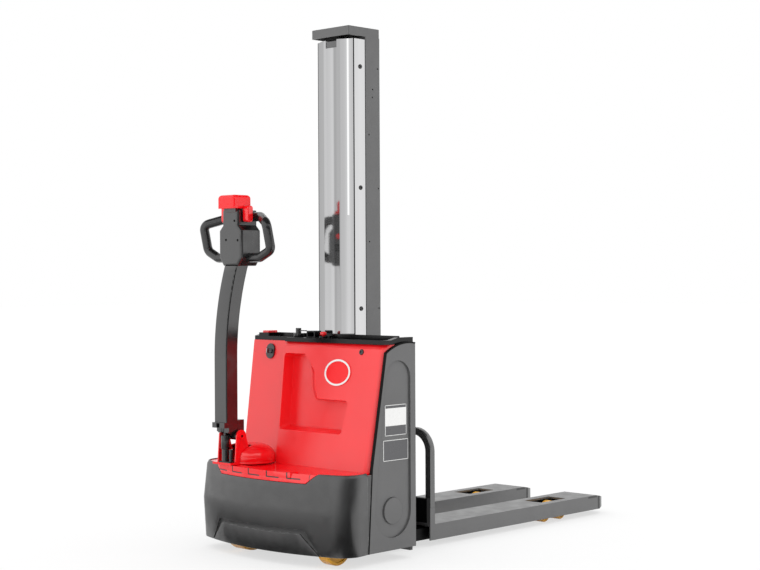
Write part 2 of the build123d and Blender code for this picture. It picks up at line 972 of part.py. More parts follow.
with BuildPart() as estop_button:
    button_z = estop_boss_z + estop_travel + seat_gap
    stem_z = cover_top_z + tray_base + estop_travel + seat_gap
    bar_z(estop_x, estop_y, estop_radius / 2, stem_z, button_z)
    bar_z(estop_x, estop_y, estop_radius, button_z, button_z + estop_radius)
    fillet(estop_button.faces().sort_by(Axis.Z)[-1].edges(), estop_radius / 2)
pieces["estop_button"] = estop_button

with BuildPart() as isolator_knob:
    knob_z = tray_rim_z + seat_gap
    bar_z(isolator_x, isolator_y, isolator_radius / 2, cover_top_z + tray_base + seat_gap, knob_z)
    bar_z(isolator_x, isolator_y, isolator_radius, knob_z, knob_z + isolator_skirt)
    bar_z(isolator_x, isolator_y, isolator_grip_radius, knob_z + isolator_skirt, knob_z + isolator_height)
    lever_z = knob_z + isolator_height - isolator_lever_drop
    lever_end_y = isolator_y - isolator_lever
    lever = box_points(isolator_x - tray_wall, isolator_x + tray_wall, lever_end_y, isolator_y)
    plate_z(lever, lever_z, lever_z + tray_wall)
pieces["isolator_knob"] = isolator_knob

# Chassis weldment: deck, bulkhead, mast bay, leg beam and caster bracket
bay_back_x = body_x - mast_bay_depth
bay_side_y = mast_half + mast_bay_side
deck_inset = skirt_wall + swing_gap
bay_floor_z = mast_foot_z - mast_foot_plate
caster_mount_top = caster_mount_z + caster_mount_plate

with BuildPart() as chassis_frame:
    extrude(tail_face(deck_z, 0, deck_inset, skirt_seam_x), amount=deck_thickness)
    deck_front = box_points(skirt_seam_x, bulkhead_x, -deck_half, deck_half)
    plate_z(deck_front, deck_z, deck_z + deck_thickness)
    plate_x(box_points(-deck_half, deck_half, beam_bottom, bulkhead_top), bulkhead_x, body_x)
    plate_x(box_points(-beam_half, beam_half, beam_bottom, beam_top), body_x - beam_depth, body_x)
    mast_bay = box_points(bay_back_x, rail_front_x, -bay_side_y, bay_side_y)
    plate_z(mast_bay, bay_floor_z, mast_bay_top)
    mast_room = box_points(bay_back_x + mast_bay_plate, rail_front_x, -mast_half, mast_half)
    plate_z(mast_room, mast_foot_z, bulkhead_top, Mode.SUBTRACT)
    bar_z(steer_x, steer_y, neck_radius + swing_gap, deck_z, deck_z + deck_thickness, Mode.SUBTRACT)
    mount_half = caster_mount_size / 2
    bracket = box_points(caster_y - mount_half, caster_y + mount_half, caster_mount_z, deck_z)
    plate_x(bracket, caster_x - mount_half, caster_x + mount_half)
    inner_half = mount_half - caster_mount_wall
    hollow = box_points(caster_y - inner_half, caster_y + inner_half, caster_mount_top, deck_z)
    plate_x(hollow, caster_x - mount_half, caster_x + mount_half, Mode.SUBTRACT)
    kingpin_bore = caster_kingpin_radius + running_gap
    bar_z(caster_x, caster_y, kingpin_bore, caster_mount_z, caster_mount_top, Mode.SUBTRACT)
pieces["chassis_frame"] = chassis_frame

with BuildPart() as slew_ring:
    ring_z = deck_z + deck_thickness
    bar_z(steer_x, steer_y, slew_radius, ring_z, ring_z + slew_height)
    bar_z(steer_x, steer_y, neck_radius + running_gap, ring_z, ring_z + slew_height, Mode.SUBTRACT)
    chamfer(slew_ring.faces().sort_by(Axis.Z)[-1].edges(), swing_gap)
pieces["slew_ring"] = slew_ring


# Mast: two facing channels with ties, sheet cover, side strips and cap
def mast_rail(side):
    """A channel whose open side faces the middle of the mast, with its row of fixing holes."""
    outer = side * mast_half
    inner = side * (mast_half - rail_web)
    lip = side * rail_lip_y
    section = [
        (rail_x, lip),
        (rail_x, outer),
        (rail_front_x, outer),
        (rail_front_x, lip),
        (rail_front_x - rail_flange, lip),
        (rail_front_x - rail_flange, inner),
        (rail_x + rail_flange, inner),
        (rail_x + rail_flange, lip),
    ]
    near, far = ordered(side, mast_half - rail_web, mast_half)
    with BuildPart() as rail:
        plate_z(section, mast_foot_z, rail_top)
        for depth, drop in rail_holes:
            bar_y(rail_x + depth, rail_top - drop, rail_hole_radius, near, far, Mode.SUBTRACT)
    return rail


for side_name, side in sides:
    pieces["mast_rail_" + side_name] = mast_rail(side)

cover_face_x = body_x - mast_cover_depth
facet_x = cover_face_x + mast_facet_depth
facet_angle = atan(mast_facet_depth / (mast_cover_half - mast_flat_half))
cover_end_x = rail_x - cover_gap
cover_top = rail_top - mast_cover_drop


def mast_wrap(inset, end_x, z_from, z_to, mode=Mode.ADD):
    """A block with the mast cover's plan inside an inset: a flat face and a slanting facet on each side."""
    flat = mast_flat_half - inset * tan(facet_angle / 2)
    face_x = cover_face_x + inset
    side_x = facet_x + inset * tan(radians(45) - facet_angle / 2)
    half = mast_cover_half - inset
    plan = [(end_x, -half), (side_x, -half), (face_x, -flat), (face_x, flat), (side_x, half), (end_x, half)]
    plate_z(plan, z_from, z_to, mode)


with BuildPart() as mast_ties:
    for tie_z in tie_heights:
        mast_wrap(mast_cover_sheet, rail_x, tie_z, tie_z + tie_height)
        mast_wrap(mast_cover_sheet + tie_sheet, rail_x, tie_z, tie_z + tie_height, Mode.SUBTRACT)
    anchor_x = cover_face_x + mast_cover_sheet
    anchor = box_points(anchor_x, chain_back_x + chain_height / 2, -chain_width, chain_width)
    plate_z(anchor, chain_fixed_z - anchor_height, chain_fixed_z)
pieces["mast_ties"] = mast_ties

with BuildPart() as mast_cover:
    mast_wrap(0, cover_end_x, mast_cover_bottom, cover_top)
    mast_wrap(mast_cover_sheet, cover_end_x, mast_cover_bottom, cover_top, Mode.SUBTRACT)
    notch = box_points(-mast_notch_half, mast_notch_half, cover_top - mast_notch_depth, cover_top)
    plate_x(notch, cover_face_x, body_x, Mode.SUBTRACT)
pieces["mast_cover"] = mast_cover

with BuildPart() as mast_strips:
    for side_name, side in sides:
        near, far = ordered(side, mast_cover_half, mast_cover_half + strip_thickness)
        strip = box_points(facet_x, cover_end_x, mast_cover_bottom, cover_top)
        plate_y(strip, near, far)
pieces["mast_strips"] = mast_strips

with BuildPart() as mast_cap:
    cap = box_points(cover_face_x - cap_overhang, rail_front_x, -mast_half, mast_half)
    plate_z(cap, rail_top, mast_top, rounding=cap_wall)
    cap_room = box_points(
        cover_face_x - cap_overhang + cap_wall,
        rail_front_x - cap_wall,
        -mast_half + cap_wall,
        mast_half - cap_wall,
    )
    plate_z(cap_room, rail_top, mast_top - cap_wall, Mode.SUBTRACT)
    chamfer(mast_cap.faces().sort_by(Axis.Z)[-1].edges(), cap_wall / 2)
pieces["mast_cap"] = mast_cap

# Lift: cylinder, rod with its pulley yoke, pulley and the two runs of leaf chain
with BuildPart() as lift_cylinder:
    bar_z(lift_x, 0, barrel_radius, mast_foot_z, barrel_top)
    bar_z(lift_x, 0, gland_radius, barrel_top - gland_height, barrel_top)
    bar_z(lift_x, 0, rod_radius + running_gap, rod_foot_z - seat_gap, barrel_top, Mode.SUBTRACT)
pieces["lift_cylinder"] = lift_cylinder

with BuildPart() as piston_rod:
    bar_z(lift_x, 0, rod_radius, rod_foot_z, yoke_base_z)
    cheek_z = yoke_base_z + yoke_base_height
    yoke = box_points(lift_x - yoke_half, lift_x + yoke_half, -yoke_half, yoke_half)
    plate_z(yoke, yoke_base_z, pulley_z + yoke_half)
    slot = box_points(lift_x - yoke_half, lift_x + yoke_half, -yoke_cheek_y, yoke_cheek_y)
    plate_z(slot, cheek_z, pulley_z + yoke_half, Mode.SUBTRACT)
    bar_y(lift_x, pulley_z, pulley_pin_radius, -yoke_half, yoke_half)
pieces["piston_rod"] = piston_rod

groove_radius = chain_pitch_radius - chain_height / 2 - seat_gap
groove_half = chain_width / 2 + seat_gap

with BuildPart() as chain_pulley:
    bar_y(lift_x, pulley_z, groove_radius, -pulley_half, pulley_half)
    bar_y(lift_x, pulley_z, pulley_flange_radius, -pulley_half, -groove_half)
    bar_y(lift_x, pulley_z, pulley_flange_radius, groove_half, pulley_half)
    bar_y(lift_x, pulley_z, pulley_pin_radius + running_gap, -pulley_half, pulley_half, Mode.SUBTRACT)
pieces["chain_pulley"] = chain_pulley

with BuildPart() as chain_carriage_run:
    wrap_out = chain_pitch_radius + chain_height / 2
    wrap_in = chain_pitch_radius - chain_height / 2
    bar_y(lift_x, pulley_z, wrap_out, -chain_width / 2, chain_width / 2)
    bar_y(lift_x, pulley_z, wrap_in, -chain_width / 2, chain_width / 2, Mode.SUBTRACT)
    below = box_points(lift_x - 2 * wrap_out, lift_x + 2 * wrap_out, pulley_z - 2 * wrap_out, pulley_z)
    plate_y(below, -chain_width, chain_width, Mode.SUBTRACT)
    run = box_points(lift_x + wrap_in, lift_x + wrap_out, chain_anchor_z + seat_gap, pulley_z)
    plate_y(run, -chain_width / 2, chain_width / 2)
pieces["chain_carriage_run"] = chain_carriage_run

with BuildPart() as chain_fixed_run:
    run = box_points(lift_x - wrap_out, lift_x - wrap_in, chain_fixed_z, pulley_z - seat_gap)
    plate_y(run, -chain_width / 2, chain_width / 2)
pieces["chain_fixed_run"] = chain_fixed_run

# Carriage: cross plate, two roller plates with studs and the chain anchor
roller_plate_far = roller_plate_y + roller_plate
cross_x = heel_back_x - carriage_plate
roller_inner = rail_lip_y + roller_gap
roller_outer = roller_inner + roller_width

with BuildPart() as carriage_frame:
    half = fork_spread / 2
    plate_x(box_points(-half, half, carriage_bottom, carriage_top), cross_x, heel_back_x)
    plate_side = [
        (body_x + roller_plate_x, carriage_bottom),
        (cross_x, carriage_bottom),
        (cross_x, carriage_top),
        (rail_front_x, (carriage_top + roller_high_z) / 2),
        (body_x + roller_plate_x + roller_plate_reach, roller_high_z + roller_radius),
        (body_x + roller_plate_x, roller_high_z + roller_radius),
    ]
    for side_name, side in sides:
        near, far = ordered(side, roller_plate_y, roller_plate_far)
        plate_y(plate_side, near, far)
        stud_near, stud_far = ordered(side, roller_plate_far, roller_outer + seat_gap)
        for z in (roller_low_z, roller_high_z):
            bar_y(roller_x, z, stud_radius, stud_near, stud_far)
    anchor_back_x = chain_front_x - chain_height / 2
    anchor_front_x = body_x + roller_plate_x + roller_plate
    anchor = box_points(anchor_back_x, anchor_front_x, -roller_plate_y, roller_plate_y)
    plate_z(anchor, chain_anchor_z - anchor_height, chain_anchor_z)
pieces["carriage_frame"] = carriage_frame


def roller_pair(z):
    """The two mast rollers at one height."""
    with BuildPart() as rollers:
        for side_name, side in sides:
            near, far = ordered(side, roller_inner, roller_outer)
            bar_y(roller_x, z, roller_radius, near, far)
            bar_y(roller_x, z, stud_radius + running_gap, near, far, Mode.SUBTRACT)
    return rollers


pieces["lower_rollers"] = roller_pair(roller_low_z)
pieces["upper_rollers"] = roller_pair(roller_high_z)


def fork_outline(y, half, inset, tail):
    """Plan of one fork: parallel sides and a narrowed nose."""
    nose_half = fork_nose_width / 2 - inset
    return [
        (tail, y - half),
        (tip_x - fork_nose_length, y - half),
        (tip_x - inset, y - nose_half),
        (tip_x - inset, y + nose_half),
        (tip_x - fork_nose_length, y + half),
        (tail, y + half),
    ]


def fork(side):
    """A fork pressed as an upturned channel over its support leg, with a heel and a wheel window."""
    y = side * fork_y
    half = fork_width / 2
    room_top = fork_top - fork_top_plate
    with BuildPart() as blade:
        plate_z(fork_outline(y, half, 0, heel_back_x), fork_bottom, fork_top)
        room = fork_outline(y, half - fork_side_plate, fork_side_plate, heel_back_x)
        plate_z(room, fork_bottom, room_top, Mode.SUBTRACT)
        plate_x(box_points(y - half, y + half, room_top, heel_top), heel_back_x, heel_x)
        window = box_points(
            wheel_line_x - window_length / 2,
            wheel_line_x + window_length / 2,
            y - window_width / 2,
            y + window_width / 2,
        )
        plate_z(window, room_top, fork_top, Mode.SUBTRACT, fork_side_plate)
        slope = [
            (tip_x - fork_nose_slope, fork_top),
            (tip_x, fork_top - fork_nose_drop),
            (tip_x, fork_top),
        ]
        plate_y(slope, y - half, y + half, Mode.SUBTRACT)
    return blade


for side_name, side in sides:
    pieces["fork_" + side_name] = fork(side)

with BuildPart() as load_backrest:
    half = fork_spread / 2
    hoop_x = heel_x - heel_thickness / 2 - hoop_tube / 2
    with BuildSketch(Plane.YZ.offset(hoop_x)) as arch:
        with BuildLine():
            FilletPolyline(
                (-half, heel_top),
                (-half, hoop_top),
                (half, hoop_top),
                (half, heel_top),
                radius=hoop_bend,
            )
            Line((half, heel_top), (-half, heel_top))
        make_face()
    extrude(amount=hoop_tube)
    with BuildSketch(Plane.YZ.offset(hoop_x)) as gap:
        inner = half - hoop_tube
        crown = hoop_top - hoop_tube
        bend = hoop_bend - hoop_tube
        with BuildLine():
            corners = ((-inner, heel_top), (-inner, crown), (inner, crown), (inner, heel_top))
            FilletPolyline(*corners, radius=bend)
            Line((inner, heel_top), (-inner, heel_top))
        make_face()
    extrude(amount=hoop_tube, mode=Mode.SUBTRACT)
pieces["load_backrest"] = load_backrest


# Support legs under the forks, each ending in a rocking tandem bogie
def support_leg(side):
    """A channel leg from the chassis beam to past the load wheels, with the bogie's pin."""
    y = side * fork_y
    tail = wheel_line_x + leg_tail
    with BuildPart() as leg:
        plate_z(box_points(body_x, tail, y - leg_half, y + leg_half), leg_bottom, leg_top)
        inner = leg_half - leg_wall
        room = box_points(body_x + leg_wall, tail, y - inner, y + inner)
        plate_z(room, leg_bottom, leg_top - leg_wall, Mode.SUBTRACT)
        gap = box_points(wheel_line_x - leg_window / 2, wheel_line_x + leg_window / 2, y - inner, y + inner)
        plate_z(gap, leg_bottom, leg_top, Mode.SUBTRACT)
        bar_y(wheel_line_x, load_wheel_radius, bogie_pin_radius, y - leg_half, y + leg_half)
    return leg


def bogie(side):
    """Two side plates on a pivot bush, carrying both wheel axles."""
    y = side * fork_y
    near = load_wheel_width / 2 + swing_gap
    far = near + bogie_plate
    reach = load_wheel_pitch / 2
    with BuildPart() as rocker:
        for plate_side in (1, -1):
            low, high = ordered(plate_side, near, far)
            end = reach + bogie_end
            half = bogie_height / 2
            plate = box_points(
                wheel_line_x - end,
                wheel_line_x + end,
                load_wheel_radius - half,
                load_wheel_radius + half,
            )
            plate_y(plate, y + low, y + high, rounding=bogie_end / 2)
        bar_y(wheel_line_x, load_wheel_radius, bogie_bush_radius, y - near, y + near)
        for axle in (-reach, reach):
            bar_y(wheel_line_x + axle, load_wheel_radius, load_axle_radius, y - far, y + far)
        bore = bogie_pin_radius + running_gap
        bar_y(wheel_line_x, load_wheel_radius, bore, y - far, y + far, Mode.SUBTRACT)
    return rocker


def load_wheel(side, axle):
    """A wide roller of the tandem pair, dished at both ends."""
    y = side * fork_y
    x = wheel_line_x + axle * load_wheel_pitch / 2
    half = load_wheel_width / 2
    with BuildPart() as roller:
        bar_y(x, load_wheel_radius, load_wheel_radius, y - half, y + half)
        chamfer(roller.edges().filter_by(GeomType.CIRCLE), swing_gap)
        dish = load_wheel_radius - load_axle_radius - swing_gap
        for end in (1, -1):
            low, high = ordered(end, half - swing_gap, half)
            bar_y(x, load_wheel_radius, dish, y + low, y + high, Mode.SUBTRACT)
        bore = load_axle_radius + running_gap
        bar_y(x, load_wheel_radius, bore, y - half, y + half, Mode.SUBTRACT)
    return roller


for side_name, side in sides:
    pieces["support_leg_" + side_name] = support_leg(side)
    pieces["bogie_" + side_name] = bogie(side)
    for axle_name, axle in (("front", 1), ("rear", -1)):
        pieces["load_wheel_" + side_name + "_" + axle_name] = load_wheel(side, axle)

# Caster: swivelling fork with a trailing wheel
caster_axle_x = caster_x - caster_trail
caster_head_top = caster_mount_z - swing_gap
caster_head_z = caster_head_top - caster_head_height
caster_inner = caster_wheel_width / 2 + caster_side_gap
caster_outer = caster_inner + caster_arm

with BuildPart() as caster_fork:
    bar_z(caster_x, caster_y, caster_head_radius, caster_head_z, caster_head_top)
    bar_z(caster_x, caster_y, caster_kingpin_radius, caster_head_top, caster_mount_top + caster_arm)
    caster_plate = [
        (caster_axle_x - caster_arm_end, caster_wheel_radius - caster_arm_end),
        (caster_axle_x + caster_arm_end, caster_wheel_radius - caster_arm_end),
        (caster_x + caster_arm_half, caster_head_z),
        (caster_x - caster_arm_half, caster_head_z),
    ]
    for side_name, side in sides:
        near, far = ordered(side, caster_inner, caster_outer)
        plate_y(caster_plate, caster_y + near, caster_y + far)
    axle_near = caster_y - caster_outer
    axle_far = caster_y + caster_outer
    bar_y(caster_axle_x, caster_wheel_radius, caster_axle_radius, axle_near, axle_far)
pieces["caster_fork"] = caster_fork

with BuildPart() as caster_wheel:
    half = caster_wheel_width / 2
    hub_half = caster_inner - swing_gap
    bar_y(caster_axle_x, caster_wheel_radius, caster_wheel_radius, caster_y - half, caster_y + half)
    fillet(caster_wheel.edges().filter_by(GeomType.CIRCLE), caster_tread_round)
    for side_name, side in sides:
        near, far = ordered(side, half - caster_tread_round, half)
        dish = caster_wheel_radius - 2 * caster_tread_round
        bar_y(caster_axle_x, caster_wheel_radius, dish, caster_y + near, caster_y + far, Mode.SUBTRACT)
    bar_y(caster_axle_x, caster_wheel_radius, caster_hub_radius, caster_y - hub_half, caster_y + hub_half)
    bore = caster_axle_radius + running_gap
    bar_y(caster_axle_x, caster_wheel_radius, bore, caster_y - hub_half, caster_y + hub_half, Mode.SUBTRACT)
pieces["caster_wheel"] = caster_wheel

# Drive unit: gearbox housing that turns in the slew ring, motor above and one driven wheel below
drive_plate_top = drive_plate_z + drive_plate
drive_half = drive_wheel_width / 2
gearbox_y = steer_y + drive_half + gearbox_gap

with BuildPart() as drive_housing:
    bar_z(steer_x, steer_y, drive_plate_radius, drive_plate_z, drive_plate_top)
    bar_z(steer_x, steer_y, neck_radius, drive_plate_top, turret_base_z)
    bar_z(steer_x, steer_y, neck_bore, drive_plate_top, turret_base_z, Mode.SUBTRACT)
    column = box_points(steer_x - gearbox_radius, steer_x + gearbox_radius, drive_wheel_radius, drive_plate_z)
    plate_y(column, gearbox_y, gearbox_y + gearbox_width)
    bar_y(steer_x, drive_wheel_radius, gearbox_radius, gearbox_y, gearbox_y + gearbox_width)
    bar_y(steer_x, drive_wheel_radius, drive_axle_radius, steer_y - drive_half, gearbox_y)
pieces["drive_housing"] = drive_housing

with BuildPart() as drive_motor:
    bar_z(steer_x, steer_y, motor_radius, drive_plate_top, motor_top)
    chamfer(drive_motor.faces().sort_by(Axis.Z)[-1].edges(), motor_bevel)
pieces["drive_motor"] = drive_motor

with BuildPart() as drive_wheel:
    bar_y(steer_x, drive_wheel_radius, drive_wheel_radius, steer_y - drive_half, steer_y + drive_half)
    chamfer(drive_wheel.edges().filter_by(GeomType.CIRCLE), drive_bevel)
    dish = drive_wheel_radius - drive_tyre
    for side_name, side in sides:
        near, far = ordered(side, drive_half - drive_dish, drive_half)
        bar_y(steer_x, drive_wheel_radius, dish, steer_y + near, steer_y + far, Mode.SUBTRACT)
    with BuildSketch(Plane.XZ.offset(-steer_y - drive_half)) as bolt_holes:
        with Locations((steer_x, drive_wheel_radius)):
            with PolarLocations((dish + drive_axle_radius) / 2, drive_hole_count):
                Circle(drive_hole_radius)
    extrude(bolt_holes.sketch, amount=drive_wheel_width, mode=Mode.SUBTRACT)
    bore = drive_axle_radius + running_gap
    bar_y(steer_x, drive_wheel_radius, bore, steer_y - drive_half, steer_y + drive_half, Mode.SUBTRACT)
pieces["drive_wheel"] = drive_wheel

# Turret: base bracket with two ears, domed cover, pivot pin and the foot of the return strut
turret_base_top = turret_base_z + turret_base
ear_outer = ear_inner + ear_plate
tongue_x = strut_x - strut_foot_margin - strut_foot

with BuildPart() as tiller_bracket:
    bar_z(steer_x, steer_y, turret_radius, turret_base_z, turret_base_top)
    tongue = box_points(tongue_x, steer_x, steer_y - ear_outer, steer_y + ear_outer)
    plate_z(tongue, turret_base_z, turret_base_top)
    bar_z(steer_x, steer_y, motor_radius + swing_gap, turret_base_z, turret_base_top, Mode.SUBTRACT)
    ear = [
        (pivot_x - ear_radius - ear_foot, turret_base_top),
        (pivot_x - ear_radius, pivot_z),
        (pivot_x + ear_radius, pivot_z),
        (steer_x - ear_front, turret_base_top),
    ]
    for side_name, side in sides:
        near, far = ordered(side, ear_inner, ear_outer)
        plate_y(ear, steer_y + near, steer_y + far)
        bar_y(pivot_x, pivot_z, ear_radius, steer_y + near, steer_y + far)
    bar_y(pivot_x, pivot_z, pivot_pin_radius, steer_y - ear_outer, steer_y + ear_outer, Mode.SUBTRACT)
pieces["tiller_bracket"] = tiller_bracket

with BuildPart() as tiller_pin:
    bar_y(pivot_x, pivot_z, pivot_pin_radius, steer_y - ear_outer, steer_y + ear_outer)
    for side_name, side in sides:
        near, far = ordered(side, ear_outer, ear_outer + ear_plate / 2)
        bar_y(pivot_x, pivot_z, pivot_head_radius, steer_y + near, steer_y + far)
pieces["tiller_pin"] = tiller_pin

turret_plane = Plane(origin=(steer_x, steer_y, 0), x_dir=(1, 0, 0), z_dir=(0, -1, 0))


def dome(inset, foot_z, mode=Mode.ADD):
    """Solid of the turret's dome inside an inset: straight skirt, elliptical shoulder and flat crown."""
    radius = turret_radius - inset
    top = turret_top - inset
    with BuildSketch(turret_plane) as profile:
        with BuildLine():
            Polyline((0, top), (0, foot_z), (radius, foot_z), (radius, turret_shoulder_z))
            EllipticalCenterArc(
                (turret_crown, turret_shoulder_z),
                radius - turret_crown,
                top - turret_shoulder_z,
                arc_size=90,
            )
            Line((turret_crown, top), (0, top))
        make_face()
    revolve(profile.sketch, axis=Axis((steer_x, steer_y, 0), (0, 0, 1)), mode=mode)


with BuildPart() as turret_cover:
    dome(0, turret_base_top)
    dome(turret_wall, turret_base_top, Mode.SUBTRACT)
    mouth_half = ear_outer + swing_gap
    mouth = box_points(tongue_x, steer_x - turret_mouth, steer_y - mouth_half, steer_y + mouth_half)
    plate_z(mouth, turret_base_top, turret_top, Mode.SUBTRACT)
pieces["turret_cover"] = turret_cover

# Return strut: a tube on the bracket, a sleeve that slides on it and a slotted head round the heel pin
heel_pin_x = pivot_x - heel_pin_lead
heel_pin_z = pivot_z + heel_pin_rise
tilt = radians(tiller_tilt)
strut_stroke = heel_pin_rise * (1 - cos(tilt)) + heel_pin_lead * sin(tilt)
sleeve_ceiling = strut_tube_top + strut_stroke + seat_gap
sleeve_top = sleeve_ceiling + strut_wall
strut_foot_top = turret_base_top + strut_foot
conduit_y = steer_y + conduit_offset_y

with BuildPart() as strut_tube:
    foot = box_points(
        strut_x - strut_foot_margin,
        strut_x + strut_foot_margin,
        conduit_y - conduit_radius - strut_foot,
        strut_y + strut_foot_margin,
    )
    plate_z(foot, turret_base_top, strut_foot_top, rounding=strut_foot)
    bar_z(strut_x, strut_y, strut_tube_radius, strut_foot_top, strut_tube_top)
    bar_z(strut_x, conduit_y, conduit_radius, strut_foot_top, conduit_top)
pieces["strut_tube"] = strut_tube

with BuildPart() as strut_sleeve:
    bore = strut_tube_radius + running_gap
    bar_z(strut_x, strut_y, bore + strut_wall, strut_sleeve_bottom, sleeve_top)
    bar_z(strut_x, strut_y, bore, strut_sleeve_bottom, sleeve_ceiling, Mode.SUBTRACT)
    slot_z = heel_pin_z + yoke_bias
    head_half_x = yoke_slot_half + yoke_margin
    head_half_z = yoke_slot_height / 2 + yoke_margin
    bar_z(strut_x, strut_y, strut_neck_radius, sleeve_top, slot_z - yoke_slot_height / 2)
    yoke_head = box_points(
        strut_x - head_half_x,
        strut_x + head_half_x,
        slot_z - head_half_z,
        slot_z + head_half_z,
    )
    yoke_near = strut_y - yoke_thickness / 2
    yoke_far = strut_y + yoke_thickness / 2
    plate_y(yoke_head, yoke_near, yoke_far, rounding=strut_foot)
    with BuildSketch(Plane.XZ.offset(-yoke_far)) as yoke_slot:
        with Locations((strut_x, slot_z)):
            SlotOverall(2 * yoke_slot_half, yoke_slot_height)
    extrude(yoke_slot.sketch, amount=yoke_thickness, mode=Mode.SUBTRACT)
pieces["strut_sleeve"] = strut_sleeve

# Tiller arm: upright box section that curves forward to the head
arm_back_x = arm_face_x + arm_depth
arm_low_y = steer_y - arm_width / 2
arm_high_y = steer_y + arm_width / 2
bend_x = arm_face_x + arm_bend_radius


def bend_point(radius, z):
    """Point on one of the arm's two bent faces at a height."""
    return (bend_x - sqrt(radius**2 - (z - arm_bend_z) ** 2), z)


with BuildPart() as tiller_arm:
    back_radius = arm_bend_radius - arm_depth
    bend_middle_z = (arm_bend_z + head_foot_z) / 2
    with BuildSketch(Plane.XZ.offset(-arm_high_y)) as arm_side:
        with BuildLine():
            Line((arm_face_x, arm_foot_z), (arm_face_x, arm_bend_z))
            ThreePointArc(
                (arm_face_x, arm_bend_z),
                bend_point(arm_bend_radius, bend_middle_z),
                bend_point(arm_bend_radius, head_foot_z),
            )
            Line(bend_point(arm_bend_radius, head_foot_z), bend_point(back_radius, head_foot_z))
            ThreePointArc(
                bend_point(back_radius, head_foot_z),
                bend_point(back_radius, bend_middle_z),
                (arm_back_x, arm_bend_z),
            )
            Polyline((arm_back_x, arm_bend_z), (arm_back_x, arm_foot_z), (arm_face_x, arm_foot_z))
        make_face()
    extrude(arm_side.sketch, amount=arm_width)
    long_edges = tiller_arm.faces().filter_by(Axis.Y).edges().filter_by(Axis.X, reverse=True)
    fillet(long_edges, arm_edge)
    boss_half = ear_inner - swing_gap
    bar_y(pivot_x, pivot_z, arm_boss_radius, steer_y - boss_half, steer_y + boss_half)
    web = [
        (pivot_x - arm_boss_radius, pivot_z),
        (pivot_x + arm_boss_radius, pivot_z),
        (pivot_x + arm_heel, arm_foot_z),
        (pivot_x + arm_heel, arm_heel_top),
        (arm_face_x + arm_edge, arm_heel_top),
        (arm_face_x + arm_edge, arm_foot_z),
    ]
    plate_y(web, arm_low_y + arm_edge, arm_high_y - arm_edge)
    relief = box_points(arm_face_x, arm_face_x + heel_relief, pivot_z, heel_lip_z)
    plate_y(relief, arm_low_y, arm_high_y, Mode.SUBTRACT)
    lip = box_points(arm_face_x - heel_lip, arm_face_x + arm_edge, heel_lip_z, heel_lip_top)
    plate_y(lip, arm_low_y, arm_high_y)
    notch_near = strut_y - notch_width / 2
    notch_far = strut_y + notch_width / 2
    notch = box_points(arm_face_x - heel_lip, heel_pin_x + notch_reach, pivot_z, notch_top)
    plate_y(notch, notch_near, notch_far, Mode.SUBTRACT)
    bar_y(heel_pin_x, heel_pin_z, heel_pin_radius, notch_near, notch_far)
    bore = pivot_pin_radius + running_gap
    bar_y(pivot_x, pivot_z, bore, steer_y - boss_half, steer_y + boss_half, Mode.SUBTRACT)
pieces["tiller_arm"] = tiller_arm

# Handle ring: one closed loop of tube through the head, its elbows drawn back to the operator
def rounded_loop(points, radius):
    """Straight runs between the points of a closed loop in space, joined by an arc at each point."""
    corners = [Vector(point) for point in points]
    arcs = []
    for index, corner in enumerate(corners):
        back = (corners[index - 1] - corner).normalized()
        ahead = (corners[(index + 1) % len(corners)] - corner).normalized()
        half_angle = radians(back.get_angle(ahead)) / 2
        run = radius / tan(half_angle)
        middle = radius / sin(half_angle) - radius
        inward = (back + ahead).normalized()
        arcs.append((corner + back * run, corner + inward * middle, corner + ahead * run))
    for index, arc in enumerate(arcs):
        ThreePointArc(*arc)
        Line(arc[2], arcs[(index + 1) % len(arcs)][0])


ring_side = ring_half - ring_tube
ring_right = (
    (ring_top_offset, ring_shoulder, ring_top_z),
    (ring_elbow_offset, ring_side, ring_elbow_z),
    (ring_hip_offset, ring_side, ring_hip_z),
    (ring_hip_offset, ring_foot, ring_bottom_z),
)
ring_points = [(head_x + x, steer_y - y, z) for x, y, z in ring_right]
ring_points += [(head_x + x, steer_y + y, z) for x, y, z in reversed(ring_right)]

with BuildPart() as handle_ring:
    with BuildLine() as ring_path:
        rounded_loop(ring_points, ring_bend)
    with BuildSketch(Plane(origin=ring_path.wire() @ 0, z_dir=ring_path.wire() % 0)) as ring_section:
        Circle(ring_tube)
    sweep(ring_section.sketch, path=ring_path.wire())
pieces["handle_ring"] = handle_ring

# Tiller head: two shells on the arm's end, split across the middle
belly_x = head_x + belly_offset
head_side = (
    (head_foot_half, head_foot_z),
    (head_half, head_flare_z),
    (head_half, head_shoulder_z),
    (neck_half, head_neck_z),
    (neck_half, head_top_z),
)
head_outline = [(steer_y + y, z) for y, z in head_side] + [(steer_y - y, z) for y, z in reversed(head_side)]
head_face_x = head_x + head_half_depth
butterfly_x = head_x + butterfly_offset
rocker_x = head_face_x + rocker_proud - rocker_depth
rocker_pin_x = head_face_x - rocker_pin_depth
rocker_pin_half = rocker_width / 2 + 2 * rocker_pin
horn_length = horn_proud + horn_radius
horn_back_x = head_face_x + horn_proud - horn_length


